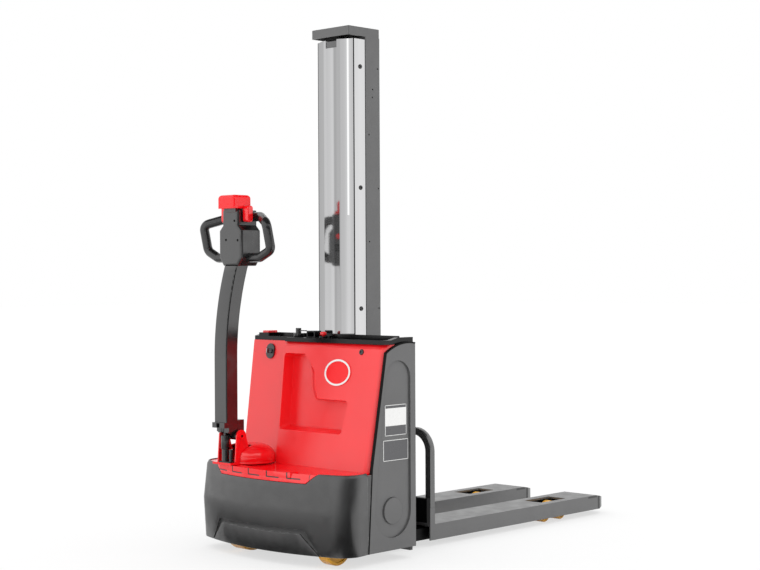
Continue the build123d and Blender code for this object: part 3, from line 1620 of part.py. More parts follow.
def head_shell(side):
    """Half of the head's shell, on the operator's side with the button's post or on the fork side."""
    near, far = ordered(side, 0, head_half_depth)
    with BuildPart() as shell:
        plate_x(head_outline, head_x + near, head_x + far)
        outer = shell.faces().sort_by(Axis.X)[-1 if side > 0 else 0]
        fillet(outer.edges(), head_rounding)
        if side < 0:
            post_near = belly_x - post_half_depth
            post_far = belly_x + post_half_depth
            post = box_points(post_near, post_far, steer_y - post_half, steer_y + post_half)
            plate_z(post, head_top_z - head_rounding, post_top)
        add(handle_ring.part, mode=Mode.SUBTRACT)
        bore = butterfly_shaft + running_gap
        bar_y(butterfly_x, butterfly_z, bore, steer_y - neck_half, steer_y + neck_half, Mode.SUBTRACT)
        if side > 0:
            pocket_half_y = rocker_width / 2 + cover_gap
            pocket_half_z = rocker_height / 2 + cover_gap
            pocket = box_points(
                steer_y - pocket_half_y,
                steer_y + pocket_half_y,
                rocker_z - pocket_half_z,
                rocker_z + pocket_half_z,
            )
            plate_x(pocket, head_face_x - rocker_pocket, head_face_x, Mode.SUBTRACT)
            pin_reach = rocker_pin_half + seat_gap
            pin_bore = rocker_pin + running_gap
            bar_y(rocker_pin_x, rocker_z, pin_bore, steer_y - pin_reach, steer_y + pin_reach, Mode.SUBTRACT)
            horn_room_x = horn_back_x - horn_travel - seat_gap
            bar_x(steer_y, horn_z, horn_radius + running_gap, horn_room_x, head_face_x, Mode.SUBTRACT)
    return shell


pieces["head_lower_shell"] = head_shell(-1)
pieces["head_upper_shell"] = head_shell(1)

# Controls on the head
with BuildPart() as belly_button:
    cap_z = head_top_z + belly_travel + seat_gap
    cap = box_points(
        belly_x - belly_half_depth,
        belly_x + belly_half_depth,
        steer_y - belly_half,
        steer_y + belly_half,
    )
    plate_z(cap, cap_z, belly_top, rounding=belly_rounding / 2)
    fillet(belly_button.faces().sort_by(Axis.Z)[-1].edges(), belly_rounding)
    room = box_points(
        belly_x - post_half_depth - seat_gap,
        belly_x + post_half_depth + seat_gap,
        steer_y - post_half - seat_gap,
        steer_y + post_half + seat_gap,
    )
    plate_z(room, cap_z, post_top + belly_travel + seat_gap, Mode.SUBTRACT)
pieces["belly_button"] = belly_button

with BuildPart() as butterfly:
    bar_y(butterfly_x, butterfly_z, butterfly_shaft, steer_y - wing_inner, steer_y + wing_inner)
    wing = box_points(
        butterfly_x - wing_depth / 2,
        butterfly_x + wing_depth / 2,
        butterfly_z - wing_height / 2,
        butterfly_z + wing_height / 2,
    )
    for side_name, side in sides:
        near, far = ordered(side, wing_inner, wing_outer)
        plate_y(wing, steer_y + near, steer_y + far, rounding=wing_round)
    fillet(butterfly.faces().filter_by(Axis.Y).sort_by(Axis.Y)[0].edges(), wing_round / 2)
    fillet(butterfly.faces().filter_by(Axis.Y).sort_by(Axis.Y)[-1].edges(), wing_round / 2)
pieces["butterfly"] = butterfly

with BuildPart() as lift_rocker:
    half_y = rocker_width / 2
    half_z = rocker_height / 2
    pad = box_points(steer_y - half_y, steer_y + half_y, rocker_z - half_z, rocker_z + half_z)
    plate_x(pad, rocker_x, rocker_x + rocker_depth)
    chamfer(lift_rocker.faces().sort_by(Axis.X)[-1].edges(), rocker_pin / 2)
    bar_y(rocker_pin_x, rocker_z, rocker_pin, steer_y - rocker_pin_half, steer_y + rocker_pin_half)
pieces["lift_rocker"] = lift_rocker

with BuildPart() as horn_button:
    bar_x(steer_y, horn_z, horn_radius, horn_back_x, head_face_x + horn_proud)
    chamfer(horn_button.faces().sort_by(Axis.X)[-1].edges(), horn_edge)
pieces["horn_button"] = horn_button

# Power gear on the deck behind the cover
deck_top = deck_z + deck_thickness
battery_back_x = bay_back_x - gear_gap
battery_y = battery_length / 2 + battery_side - deck_half
pack_y = deck_half - pack_side - pack_length / 2

with BuildPart() as battery:
    battery_x = battery_back_x - battery_depth
    case = box_points(
        battery_x,
        battery_back_x,
        battery_y - battery_length / 2,
        battery_y + battery_length / 2,
    )
    plate_z(case, deck_top, deck_top + battery_height)
    chamfer(battery.edges().filter_by(Axis.Z), battery_post_radius / 2)
    for side_name, side in sides:
        post_y = battery_y + side * battery_post_pitch / 2
        post_x = battery_x + battery_post_inset
        battery_top = deck_top + battery_height
        bar_z(post_x, post_y, battery_post_radius, battery_top, battery_top + battery_post_height)
pieces["battery"] = battery

with BuildPart() as power_pack:
    pack_back_x = bulkhead_x - gear_gap
    pack_half = pack_length / 2
    tank = box_points(pack_back_x - pack_depth, pack_back_x, pack_y - pack_half, pack_y + pack_half)
    tank_top = deck_top + pack_tank_height
    plate_z(tank, deck_top, tank_top, rounding=gear_gap)
    pack_motor_y = pack_y - pack_half + pack_motor_radius
    pack_motor_x = pack_back_x - pack_depth / 2
    bar_z(pack_motor_x, pack_motor_y, pack_motor_radius, tank_top, tank_top + pack_motor_height)
    valve = box_points(
        pack_motor_x - pack_valve / 2,
        pack_motor_x + pack_valve / 2,
        pack_y + pack_half - pack_valve - gear_gap,
        pack_y + pack_half - gear_gap,
    )
    plate_z(valve, tank_top, tank_top + pack_valve)
pieces["power_pack"] = power_pack

with BuildPart() as controller:
    controller_x = bulkhead_x - controller_depth
    body = box_points(
        controller_y - controller_width / 2,
        controller_y + controller_width / 2,
        controller_z,
        controller_z + controller_height,
    )
    plate_x(body, controller_x, bulkhead_x)
    fin_pitch = controller_height / fin_count
    for fin in range(fin_count):
        gap_z = controller_z + (fin + 0.25) * fin_pitch
        gap = box_points(
            controller_y - controller_width / 2,
            controller_y + controller_width / 2,
            gap_z,
            gap_z + fin_pitch / 2,
        )
        plate_x(gap, controller_x, controller_x + controller_depth / 2, Mode.SUBTRACT)
pieces["controller"] = controller

for name, piece in pieces.items():
    piece.part.label = name
    export_step(piece.part, f"parts/{name}.step")
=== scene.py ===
"""Looks of a pedestrian pallet stacker: paints, plastics, fasteners, chain, camera and studio."""

import json
import math

import bmesh
import bpy
from mathutils import Matrix, Vector


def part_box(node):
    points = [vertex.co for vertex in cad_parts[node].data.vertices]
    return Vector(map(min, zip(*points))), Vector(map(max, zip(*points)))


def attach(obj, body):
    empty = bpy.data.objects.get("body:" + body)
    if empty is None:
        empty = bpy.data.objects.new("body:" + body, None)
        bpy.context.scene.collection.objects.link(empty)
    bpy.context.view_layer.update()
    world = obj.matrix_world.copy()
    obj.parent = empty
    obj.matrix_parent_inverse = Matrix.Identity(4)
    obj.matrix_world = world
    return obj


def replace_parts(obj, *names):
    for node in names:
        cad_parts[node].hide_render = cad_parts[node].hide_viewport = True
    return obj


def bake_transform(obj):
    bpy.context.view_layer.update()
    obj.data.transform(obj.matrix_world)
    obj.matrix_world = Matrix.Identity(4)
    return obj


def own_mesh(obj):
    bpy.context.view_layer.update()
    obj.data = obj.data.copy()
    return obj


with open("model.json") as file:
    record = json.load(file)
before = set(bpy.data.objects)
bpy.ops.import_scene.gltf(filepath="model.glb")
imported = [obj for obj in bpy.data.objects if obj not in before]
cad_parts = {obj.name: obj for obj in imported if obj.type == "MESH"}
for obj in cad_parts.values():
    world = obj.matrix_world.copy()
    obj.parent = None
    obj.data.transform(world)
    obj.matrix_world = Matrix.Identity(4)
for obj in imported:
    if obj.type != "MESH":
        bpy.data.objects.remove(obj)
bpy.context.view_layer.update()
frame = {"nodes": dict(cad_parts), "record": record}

# Camera, in metres, degrees and, for the lens and its sensor, millimetres
CAMERA_PLACE = (-4.7795, -4.3217, 1.0571)
CAMERA_YAW = 43.58
CAMERA_PITCH = -0.4
CAMERA_ROLL = -0.28
CAMERA_LENS = 74.2
CAMERA_FAR = 200.0
SENSOR = 36.0

# Studio, in metres and degrees
FLOOR_HALF = 40.0
FLOOR_TONE = (0.88, 0.88, 0.88)
FLOOR_GLOW = 0.65
SKY = 1.2
CARD_LIFT = 0.004
CARD_NEAR_X = -0.93
CARD_FAR_X = -3.6
CARD_HALF_Y = 3.2
CARD_TONE = (0.45, 0.45, 0.45)
CARD_SHADOW_TONE = (0.03, 0.03, 0.03)
CARD_FADE = 0.4
CORNER_LOW = (-1.6, -8.0)
CORNER_HIGH = (-0.72, -0.41)
CEILING_Z = 3.4
CEILING_HALF = 2.6
FLAG_YAW = -117.0
FLAG_DISTANCE = 8.0
FLAG_HALF = 11.4
FLAG_HEIGHT = 5.0
FLAG_TONE = (0.08, 0.08, 0.08)
FLAG_FADE_TONE = (0.8, 0.8, 0.8)

# Colours, linear
RED = (0.93, 0.003, 0.008)
WHITE = (0.85, 0.85, 0.84)
FULL_WHITE = (1, 1, 1)
GRAPHITE = (0.095, 0.095, 0.096)
SKIRT_EDGE_WEAR_AND_HIGHLIGHT = (0.19, 0.19, 0.19)
HOOP_BLACK = (0.012, 0.012, 0.0125)
SOOT = (0.009, 0.009, 0.0095)
TRAY_BLACK = (0.004, 0.004, 0.0042)
BLACK = (0.002, 0.002, 0.0022)
CASE_BLACK = (0.02, 0.02, 0.021)
IRON = (0.09, 0.09, 0.095)
STEEL = (0.55, 0.55, 0.56)
CHROME = (0.78, 0.78, 0.79)
CHAIN_GREY = (0.2, 0.19, 0.18)
SHEET = (0.5, 0.5, 0.505)
STRIP_SHEET = (0.68, 0.68, 0.685)
AMBER = (0.85, 0.42, 0.03)
PLATE_GREY = (0.1, 0.1, 0.105)

# What every finish shares: ranges of noise that are drawn apart, and the look of worn edges
PATCH_RANGE = (0.3, 0.7)
SHEEN_RANGE = (0.25, 0.75)
SHEEN_SWING = 0.15
SCUFF_SCALE = 60.0
SCUFF_RANGE = (0.4, 0.65)
WORN_LIFT = 2.2
EDGE_RANGE = (0.97, 0.75)
EDGE_SAMPLES = 4

# Mast cover and its strips, in metres: painted reflection tones across the sheet, the painted highlight along
# the crease, and the width of the painted shade lines at the strips' seam and in the tread
SHEET_HALF = 0.1
SHEET_REFLECTION_BANDS = (
    (-0.096, 0.67), (-0.044, 0.7), (-0.04, 1.1), (0.01, 1.17), (0.016, 0.8), (0.044, 0.84),
    (0.05, 1.0), (0.062, 1.08), (0.07, 1.2), (0.081, 1.18), (0.096, 1.05),
)
CREASE_HIGHLIGHT_Y = 0.0755
CREASE_HIGHLIGHT_HALF = 0.0035
CREASE_HIGHLIGHT_FOOT = 1.285
SHADE_LINE_WIDTH = 0.0025

# Tread of the floor cover and its painted shade lines, in metres and in shares of its pitch
TREAD_RADIUS = 1.068
TREAD_CENTRE = (0.1655, 0, 0)
TREAD_PITCH = 0.1
TREAD_COUNT = 5
TREAD_FOOT = 0.316
TREAD_EDGE = 0.018
GROOVE_SHARE = 0.03
FOOT_SHARE = 0.4
GROOVE_SHADE = 0.04

# Painted shade lines on the side panels, in metres
PANEL_SHADE_LINE = 0.003
FLAT_FACE = 0.8
BOSS_CENTRE = (-0.5825, 0, 0.187)
BOSS_RADIUS = 0.0495
BOSS_SHADE_LINE = 0.0012

# Painted shade on forks, hoop and frame, in metres; a face's turn to an axis is from -1 to 1
FORK_DEPTH = 0.062
NOSE_SLOPE = 0.2
NOSE_FOLD = 0.09
NOSE_SHADE_BAND = 0.077
NOSE_SLOT_START = 0.147
NOSE_SLOT_END = 0.083
NOSE_SLOT_DEPTH = 0.006
NOSE_SLOT_HALF = 0.004
UPRIGHT_FACE = 0.5
HOOP_SHADED_SIDE = (-0.25, -0.5)
HOOP_SHADED_SIDE_ROUGHNESS = 0.6
FLOOR_SHADE_HEIGHTS = (0.16, 0.1)

# Nose plates of the forks, in metres: corners by their distance from the tip and from the middle line,
# layers by their drop and scale
NOSE_START = 0.054
NOSE_END = 0.005
NOSE_CORNERS = ((NOSE_START, 0.0745), (NOSE_START, -0.0745), (NOSE_END, -0.0445), (NOSE_END, 0.0445))
NOSE_LAYERS = ((0.005, 1), (0.0006, 1), (0.0003, 0.96), (0, 0.9))
NOSE_DROP = 0.0075

# Badge, pin and wheels, in metres
COVER_SLOPE = 0.185
BADGE_STEP = 0.0005
PIN_SOCKET = 0.005
DRIVE_HUB = 0.08
CASTER_HUB = 0.03
LOAD_HUB = 0.024

# Fasteners, in metres: the head's screws by (y, z)
STRIP_SCREW_X = -0.4475
STRIP_SCREW_HEIGHTS = (1.858, 1.391, 0.924)
STRIP_SCREW_RADIUS = 0.009
STRIP_SCREW_RISE = 0.004
HEAD_SCREW_RADIUS = 0.0048
HEAD_SCREW_RISE = 0.0012
HEAD_SCREWS = ((0.227, 1.19), (0.16, 1.188), (0.178, 1.262))
CATCH_Y = -0.268
CATCH_DROP = 0.029
CATCH_RADIUS = 0.011
CATCH_RISE = 0.004

# Bare plates on the right panel, in metres: opposite corners (x, z), then the bands and the rivets
RATING_PLATE = ((-0.62, 0.463), (-0.506, 0.576))
LOAD_PLATE = ((-0.63, 0.371), (-0.497, 0.447))
PANEL_RECESS = 0.007
PLATE_THICKNESS = 0.0012
PLATE_ROUNDING = 0.004
PLATE_RIM = 0.0003
PLATE_FRAME = 0.002
PLATE_FOOT = 0.036
PLATE_HEAD = 0.012
RIVET_INSET = 0.005
RIVET_PROFILE = ((0.0018, 0), (0.0015, 0.0006), (0.0008, 0.0009), (0, 0.001))

# Edging, fillers and foam strips of the side panels, in metres: points are (x, z); the black edging also
# stands in for the shade in the gap between the main cover and the panels
SEAL_WIDTH = 0.005
SEAL_RISE = 0.0012
SEAL_LAP = 0.0009
SEAL_DEPTH = 0.009
SEAL_EDGES = {
    "right": ((-0.717, 0.043), (-0.697, 0.348), (-0.6205, 0.768)),
    "left": ((-0.717, 0.043), (-0.697, 0.348), (-0.6177, 0.348), (-0.5631, 0.768)),
}
SEAL_CROWNS = {"right": (-0.5615, 0.796), "left": (-0.5235, 0.796)}
SEAL_END = (-0.4615, 0.802)
MITRE_FLOOR = 0.3
FILLER = ((-0.7195, 0.044), (-0.7183, 0.044), (-0.6992, 0.33), (-0.7195, 0.33))
FILLER_THICKNESS = 0.009
PANEL_THICKNESS = 0.01
BULKHEAD_HALF = 0.3745
FOAM_BACK = -0.474
FOAM_FRONT = -0.466
FOAM_BULGE = 0.003
FOAM_STEPS = 8
FOAM_FOOT = 0.046
FOAM_TOP = 0.775

# Lift chain, in metres and degrees
CHAIN_PITCH = 0.0127
CHAIN_PLATE_HEIGHT = 0.0088
CHAIN_PLATE = 0.0018
CHAIN_PLATES = 7
CHAIN_PLATE_BEARINGS = (-110, -70, -30, 0, 30, 70, 110)
CHAIN_PIN_RADIUS = 0.002

# Rounding and smoothing of edges, in metres and degrees
WELD_REACH = 0.00002
FLAT_ANGLE = 0.02
EDGE_ANGLE = 32.0
SMOOTH_ANGLE = 35.0
EDGE = 0.0008
EDGE_SEGMENTS = 2
WIDE_EDGE_SEGMENTS = 4
WIDE_EDGES = {
    "rear_skirt": 0.004,
    "main_cover": 0.003,
    "side_panel_left": 0.0025,
    "side_panel_right": 0.0025,
    "head_lower_shell": 0.008,
    "head_upper_shell": 0.008,
    "floor_cover": 0.0012,
    "top_tray": 0.0015,
    "belly_button": 0.002,
}


# Shader helpers
def add(tree, kind, **settings):
    """A new node with its settings."""
    node = tree.nodes.new(kind)
    for name, value in settings.items():
        setattr(node, name, value)
    return node


def join(tree, output, target):
    """Links an output to an input."""
    tree.links.new(output, target)


def place(tree):
    """Position on the piece at rest, in metres."""
    return add(tree, "ShaderNodeTexCoord").outputs["Object"]


def noise(tree, scale, detail=2.0, stretch=(1, 1, 1)):
    """Noise with a grain of 1 / scale metres, drawn out along the axes whose stretch is small."""
    mapping = add(tree, "ShaderNodeMapping")
    mapping.inputs["Scale"].default_value = [scale * s for s in stretch]
    texture = add(tree, "ShaderNodeTexNoise")
    texture.inputs["Scale"].default_value = 1
    texture.inputs["Detail"].default_value = detail
    join(tree, place(tree), mapping.inputs["Vector"])
    join(tree, mapping.outputs["Vector"], texture.inputs["Vector"])
    return texture.outputs["Fac"]


def spread(tree, value, low, high, start=0.0, end=1.0, easing="SMOOTHSTEP"):
    """Maps low..high of a value to start..end."""
    node = add(tree, "ShaderNodeMapRange", interpolation_type=easing)
    join(tree, value, node.inputs["Value"])
    for name, number in (("From Min", low), ("From Max", high), ("To Min", start), ("To Max", end)):
        node.inputs[name].default_value = number
    return node.outputs["Result"]


def blend(tree, share, first, second, mode="MIX"):
    """Mixes two colours, each a colour or a link."""
    node = add(tree, "ShaderNodeMix", data_type="RGBA", blend_type=mode)
    if isinstance(share, (int, float)):
        node.inputs[0].default_value = share
    else:
        join(tree, share, node.inputs[0])
    for target, colour in ((node.inputs[6], first), (node.inputs[7], second)):
        if isinstance(colour, tuple):
            target.default_value = (*colour, 1)
        else:
            join(tree, colour, target)
    return node.outputs[2]


def math_of(tree, operation, *values):
    """One step of arithmetic on links or numbers."""
    node = add(tree, "ShaderNodeMath", operation=operation)
    for target, value in zip(node.inputs, values):
        if isinstance(value, (int, float)):
            target.default_value = value
        else:
            join(tree, value, target)
    return node.outputs[0]


def over(tree, value, limit):
    """1 where a value is over a limit."""
    return math_of(tree, "GREATER_THAN", value, limit)


def under(tree, value, limit):
    """1 where a value is under a limit."""
    return math_of(tree, "LESS_THAN", value, limit)


def within(tree, value, centre, reach):
    """1 where a value is within reach of a centre."""
    return math_of(tree, "COMPARE", value, centre, reach)


def all_of(tree, first, *shares):
    """1 where every share is 1."""
    for share in shares:
        first = math_of(tree, "MULTIPLY", first, share)
    return first


def any_of(tree, first, second):
    """1 where either share is 1."""
    return math_of(tree, "MAXIMUM", first, second)


def size_of(tree, value):
    """A value without its sign."""
    return math_of(tree, "ABSOLUTE", value)


def direction(tree, axis):
    """How far the surface faces along an axis, "X", "Y" or "Z"."""
    parts = add(tree, "ShaderNodeSeparateXYZ")
    join(tree, add(tree, "ShaderNodeNewGeometry").outputs["Normal"], parts.inputs[0])
    return parts.outputs[axis]


def edges(tree, width):
    """1 along the piece's edges, 0 on its open faces."""
    bevel = add(tree, "ShaderNodeBevel", samples=EDGE_SAMPLES)
    bevel.inputs["Radius"].default_value = width
    geometry = add(tree, "ShaderNodeNewGeometry")
    dot = add(tree, "ShaderNodeVectorMath", operation="DOT_PRODUCT")
    join(tree, bevel.outputs["Normal"], dot.inputs[0])
    join(tree, geometry.outputs["Normal"], dot.inputs[1])
    return spread(tree, dot.outputs["Value"], *EDGE_RANGE)


def bump(tree, shader, height, depth):
    """Raises the surface by a height map, in metres."""
    node = add(tree, "ShaderNodeBump")
    node.inputs["Distance"].default_value = depth
    node.inputs["Strength"].default_value = 1
    join(tree, height, node.inputs["Height"])
    join(tree, node.outputs["Normal"], shader.inputs["Normal"])


def shade(colour, factor):
    """A colour made lighter or darker."""
    return tuple(min(1.0, c * factor) for c in colour)


def surface(
    name,
    colour,
    roughness,
    ior=1.5,
    metallic=0.0,
    variation=0.12,
    patch=5.0,
    grain=700.0,
    grain_depth=0.00004,
    wear_colour=None,
    wear=0.35,
    rim=0.0015,
    stretch=(1, 1, 1),
):
    """A finish with patches of colour, worn edges, uneven sheen and a fine grain."""
    material = bpy.data.materials.new(name)
    material.use_nodes = True
    tree = material.node_tree
    shader = tree.nodes["Principled BSDF"]
    shader.inputs["Metallic"].default_value = metallic
    shader.inputs["IOR"].default_value = ior
    patches = spread(tree, noise(tree, patch, 4.0, stretch), *PATCH_RANGE)
    tone = blend(tree, patches, shade(colour, 1 - variation), shade(colour, 1 + variation))
    scuffs = spread(tree, noise(tree, SCUFF_SCALE, 3.0), *SCUFF_RANGE)
    worn = all_of(tree, edges(tree, rim), wear, scuffs)
    tone = blend(tree, worn, tone, wear_colour or shade(colour, WORN_LIFT))
    join(tree, tone, shader.inputs["Base Color"])
    smear = noise(tree, patch * 4, 3.0, stretch)
    least, most = roughness * (1 - SHEEN_SWING), roughness * (1 + SHEEN_SWING)
    join(tree, spread(tree, smear, *SHEEN_RANGE, least, most), shader.inputs["Roughness"])
    bump(tree, shader, noise(tree, grain, 2.0, stretch), grain_depth)
    return material


def zone(material, share, colour):
    """Mixes a colour into a finish where a share is 1."""
    tree = material.node_tree
    target = tree.nodes["Principled BSDF"].inputs["Base Color"]
    join(tree, blend(tree, share, target.links[0].from_socket, colour), target)


def along(tree, point, way):
    """Distance of a place past a point in a direction."""
    offset = add(tree, "ShaderNodeVectorMath", operation="SUBTRACT")
    join(tree, place(tree), offset.inputs[0])
    offset.inputs[1].default_value = point
    dot = add(tree, "ShaderNodeVectorMath", operation="DOT_PRODUCT")
    join(tree, offset.outputs["Vector"], dot.inputs[0])
    dot.inputs[1].default_value = way
    return dot.outputs["Value"]


def from_axis(tree, centre, axis):
    """Distance of a place from an axis."""
    offset = add(tree, "ShaderNodeVectorMath", operation="SUBTRACT")
    join(tree, place(tree), offset.inputs[0])
    offset.inputs[1].default_value = centre
    flat = add(tree, "ShaderNodeVectorMath", operation="CROSS_PRODUCT")
    join(tree, offset.outputs["Vector"], flat.inputs[0])
    flat.inputs[1].default_value = axis
    length = add(tree, "ShaderNodeVectorMath", operation="LENGTH")
    join(tree, flat.outputs["Vector"], length.inputs[0])
    return length.outputs["Value"]


def middle(node):
    """Centre of a CAD node's box."""
    low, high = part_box(node)
    return (Vector(low) + Vector(high)) / 2


def cover_outward():
    """The way that the leaning main cover faces."""
    lean = math.atan(COVER_SLOPE)
    return (-math.cos(lean), 0, math.sin(lean))


# Finishes
def steel_paint(name, colour=GRAPHITE, roughness=0.36, ior=1.8, **changes):
    """Paint of the steelwork."""
    return surface(
        name, colour, roughness, ior=ior, variation=0.05, grain=900, grain_depth=0.000012, **changes,
    )


def red_finish(name, roughness=0.14, ior=1.9, grain=500):
    """Red plastic or paint with an even colour."""
    return surface(name, RED, roughness, ior=ior, variation=0.03, grain=grain, grain_depth=0.00001)


def sheet_finish(name, colour):
    """Rolled sheet with upright brushing."""
    return surface(
        name, colour, 0.07, metallic=1.0, variation=0.06, patch=45, grain=900,
        grain_depth=0.000004, stretch=(1, 1, 0.003), wear=0.1,
    )


def mast_finish():
    """The mast cover's sheet, with painted reflection bands of lighter and darker tone across its width and a
    painted highlight along the crease high up.
    """
    material = sheet_finish("silver_sheet", SHEET)
    tree = material.node_tree
    across = along(tree, (0, 0, 0), (0, -1, 0))
    # Painted reflection: the tones across the width stand in for how the sheet's facets reflect the studio.
    ramp = add(tree, "ShaderNodeValToRGB")
    join(tree, spread(tree, across, -SHEET_HALF, SHEET_HALF, easing="LINEAR"), ramp.inputs["Fac"])
    stops = ramp.color_ramp.elements
    while len(stops) < len(SHEET_REFLECTION_BANDS):
        stops.new(0.5)
    for stop, (y, tone) in zip(stops, SHEET_REFLECTION_BANDS):
        stop.position = (y + SHEET_HALF) / (2 * SHEET_HALF)
        stop.color = (tone, tone, tone, 1)
    target = tree.nodes["Principled BSDF"].inputs["Base Color"]
    join(tree, blend(tree, 1.0, target.links[0].from_socket, ramp.outputs["Color"], "MULTIPLY"), target)
    # Painted highlight: a white line along the crease, above its foot.
    crease = within(tree, across, CREASE_HIGHLIGHT_Y, CREASE_HIGHLIGHT_HALF)
    above = over(tree, along(tree, (0, 0, CREASE_HIGHLIGHT_FOOT), (0, 0, 1)), 0)
    zone(material, all_of(tree, crease, above), FULL_WHITE)
    return material


def strip_finish():
    """Bright side strip, painted dark along its edge towards the cover sheet as the shade of the seam."""
    material = sheet_finish("strip_sheet", STRIP_SHEET)
    tree = material.node_tree
    past = along(tree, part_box("mast_strips")[0], (1, 0, 0))
    # Painted shade: a black line along the strip's edge next to the cover sheet.
    zone(material, under(tree, past, SHADE_LINE_WIDTH), BLACK)
    return material


def wheel_finish(node, hub_radius):
    """A cast tyre on an iron hub, for one wheel."""
    material = surface(node + "_tyre", AMBER, 0.3, variation=0.06, grain=600)
    tree = material.node_tree
    zone(material, under(tree, from_axis(tree, middle(node), (0, 1, 0)), hub_radius), IRON)
    return material


def badge_finish():
    """A white ring round a red field: the ring stands above the field."""
    material = surface("badge_ring", WHITE, 0.2, variation=0.02, wear=0.05)
    tree = material.node_tree
    rise = along(tree, middle("badge_disc"), cover_outward())
    zone(material, under(tree, rise, BADGE_STEP), RED)
    return material


def tread_finish():
    """Glossy red moulding, with painted shade in the grooves between its tread blocks and under their feet.
    """
    material = red_finish("floor_plastic")
    tree = material.node_tree
    ahead = along(tree, TREAD_CENTRE, (-1, 0, 0))
    aside = along(tree, TREAD_CENTRE, (0, 1, 0))
    bearing = math_of(tree, "ARCTAN2", aside, ahead)
    count = math_of(tree, "MULTIPLY", bearing, TREAD_RADIUS / TREAD_PITCH)
    height = along(tree, (0, 0, TREAD_FOOT), (0, 0, 1))
    groove = within(tree, math_of(tree, "FRACT", count), 0.5, GROOVE_SHARE)
    edge = over(tree, from_axis(tree, TREAD_CENTRE, (0, 0, 1)), TREAD_RADIUS - TREAD_EDGE)
    groove = all_of(tree, groove, edge, over(tree, height, -SHADE_LINE_WIDTH))
    share = math_of(tree, "FRACT", math_of(tree, "ADD", count, 0.5))
    foot = all_of(tree, within(tree, height, 0, SHADE_LINE_WIDTH), over(tree, share, FOOT_SHARE))
    row = within(tree, count, 0, TREAD_COUNT / 2)
    # Painted shade: the grooves between the blocks and a line under each block's foot are darkened.
    zone(material, all_of(tree, any_of(tree, groove, foot), row), shade(RED, GROOVE_SHADE))
    return material


def panel_finish():
    """Panel paint with painted shade along the edges of the recess and round the boss."""
    material = steel_paint("panel_paint", wear=0.0)
    tree = material.node_tree
    flat = over(tree, size_of(tree, direction(tree, "Y")), FLAT_FACE)
    ring = within(tree, from_axis(tree, BOSS_CENTRE, (0, 1, 0)), BOSS_RADIUS, BOSS_SHADE_LINE)
    # Painted shade: black lines along the panel's edges and round the boss, on its flat faces.
    for line in (edges(tree, PANEL_SHADE_LINE), ring):
        zone(material, all_of(tree, line, flat), BLACK)
    return material


def hoop_finish():
    """Paint of the load hoop, with painted shade that blackens its rear side, and rougher paint there."""
    material = steel_paint("hoop_paint", HOOP_BLACK, 0.28, 2.35)
    tree = material.node_tree
    # Painted shade: the faces turned towards the rear fade to black.
    rear = spread(tree, direction(tree, "X"), *HOOP_SHADED_SIDE)
    zone(material, rear, BLACK)
    roughness = tree.nodes["Principled BSDF"].inputs["Roughness"]
    dull = add(tree, "ShaderNodeMix", data_type="FLOAT")
    join(tree, rear, dull.inputs[0])
    join(tree, roughness.links[0].from_socket, dull.inputs[2])
    dull.inputs[3].default_value = HOOP_SHADED_SIDE_ROUGHNESS
    join(tree, dull.outputs[0], roughness)
    return material


def fork_finish(node):
    """Fork paint with painted shade: a dark band at the nose's end and a dark line for the shaded slot along
    the nose's upper edge.
    """
    material = steel_paint(node + "_paint")
    tree = material.node_tree
    low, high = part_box(node)
    past = along(tree, (high[0], 0, 0), (1, 0, 0))
    fold = math_of(tree, "MAXIMUM", math_of(tree, "ADD", past, NOSE_FOLD), 0)
    depth = along(tree, (0, 0, low[2] + FORK_DEPTH), (0, 0, -1))
    depth = math_of(tree, "SUBTRACT", depth, math_of(tree, "MULTIPLY", fold, NOSE_SLOPE))
    slot_middle = -(NOSE_SLOT_START + NOSE_SLOT_END) / 2
    span = within(tree, past, slot_middle, (NOSE_SLOT_START - NOSE_SLOT_END) / 2)
    slot = all_of(tree, span, within(tree, depth, NOSE_SLOT_DEPTH, NOSE_SLOT_HALF))
    upright = under(tree, size_of(tree, direction(tree, "Z")), UPRIGHT_FACE)
    # Painted shade on the upright faces: the band at the nose's end and the line along the slot.
    dark = any_of(tree, slot, over(tree, past, -NOSE_SHADE_BAND))
    zone(material, all_of(tree, dark, upright), BLACK)
    return material


def frame_finish():
    """Frame paint, darkened towards the floor as painted shade."""
    material = steel_paint("frame_paint")
    tree = material.node_tree
    height = along(tree, (0, 0, 0), (0, 0, 1))
    # Painted shade: black fades in below these heights.
    zone(material, spread(tree, height, *FLOOR_SHADE_HEIGHTS), BLACK)
    return material


def pin_finish():
    """A painted pin with a dark socket."""
    material = surface("pin_paint", RED, 0.2, variation=0.03)
    tree = material.node_tree
    zone(material, under(tree, from_axis(tree, middle("tiller_pin"), (0, 1, 0)), PIN_SOCKET), BLACK)
    return material


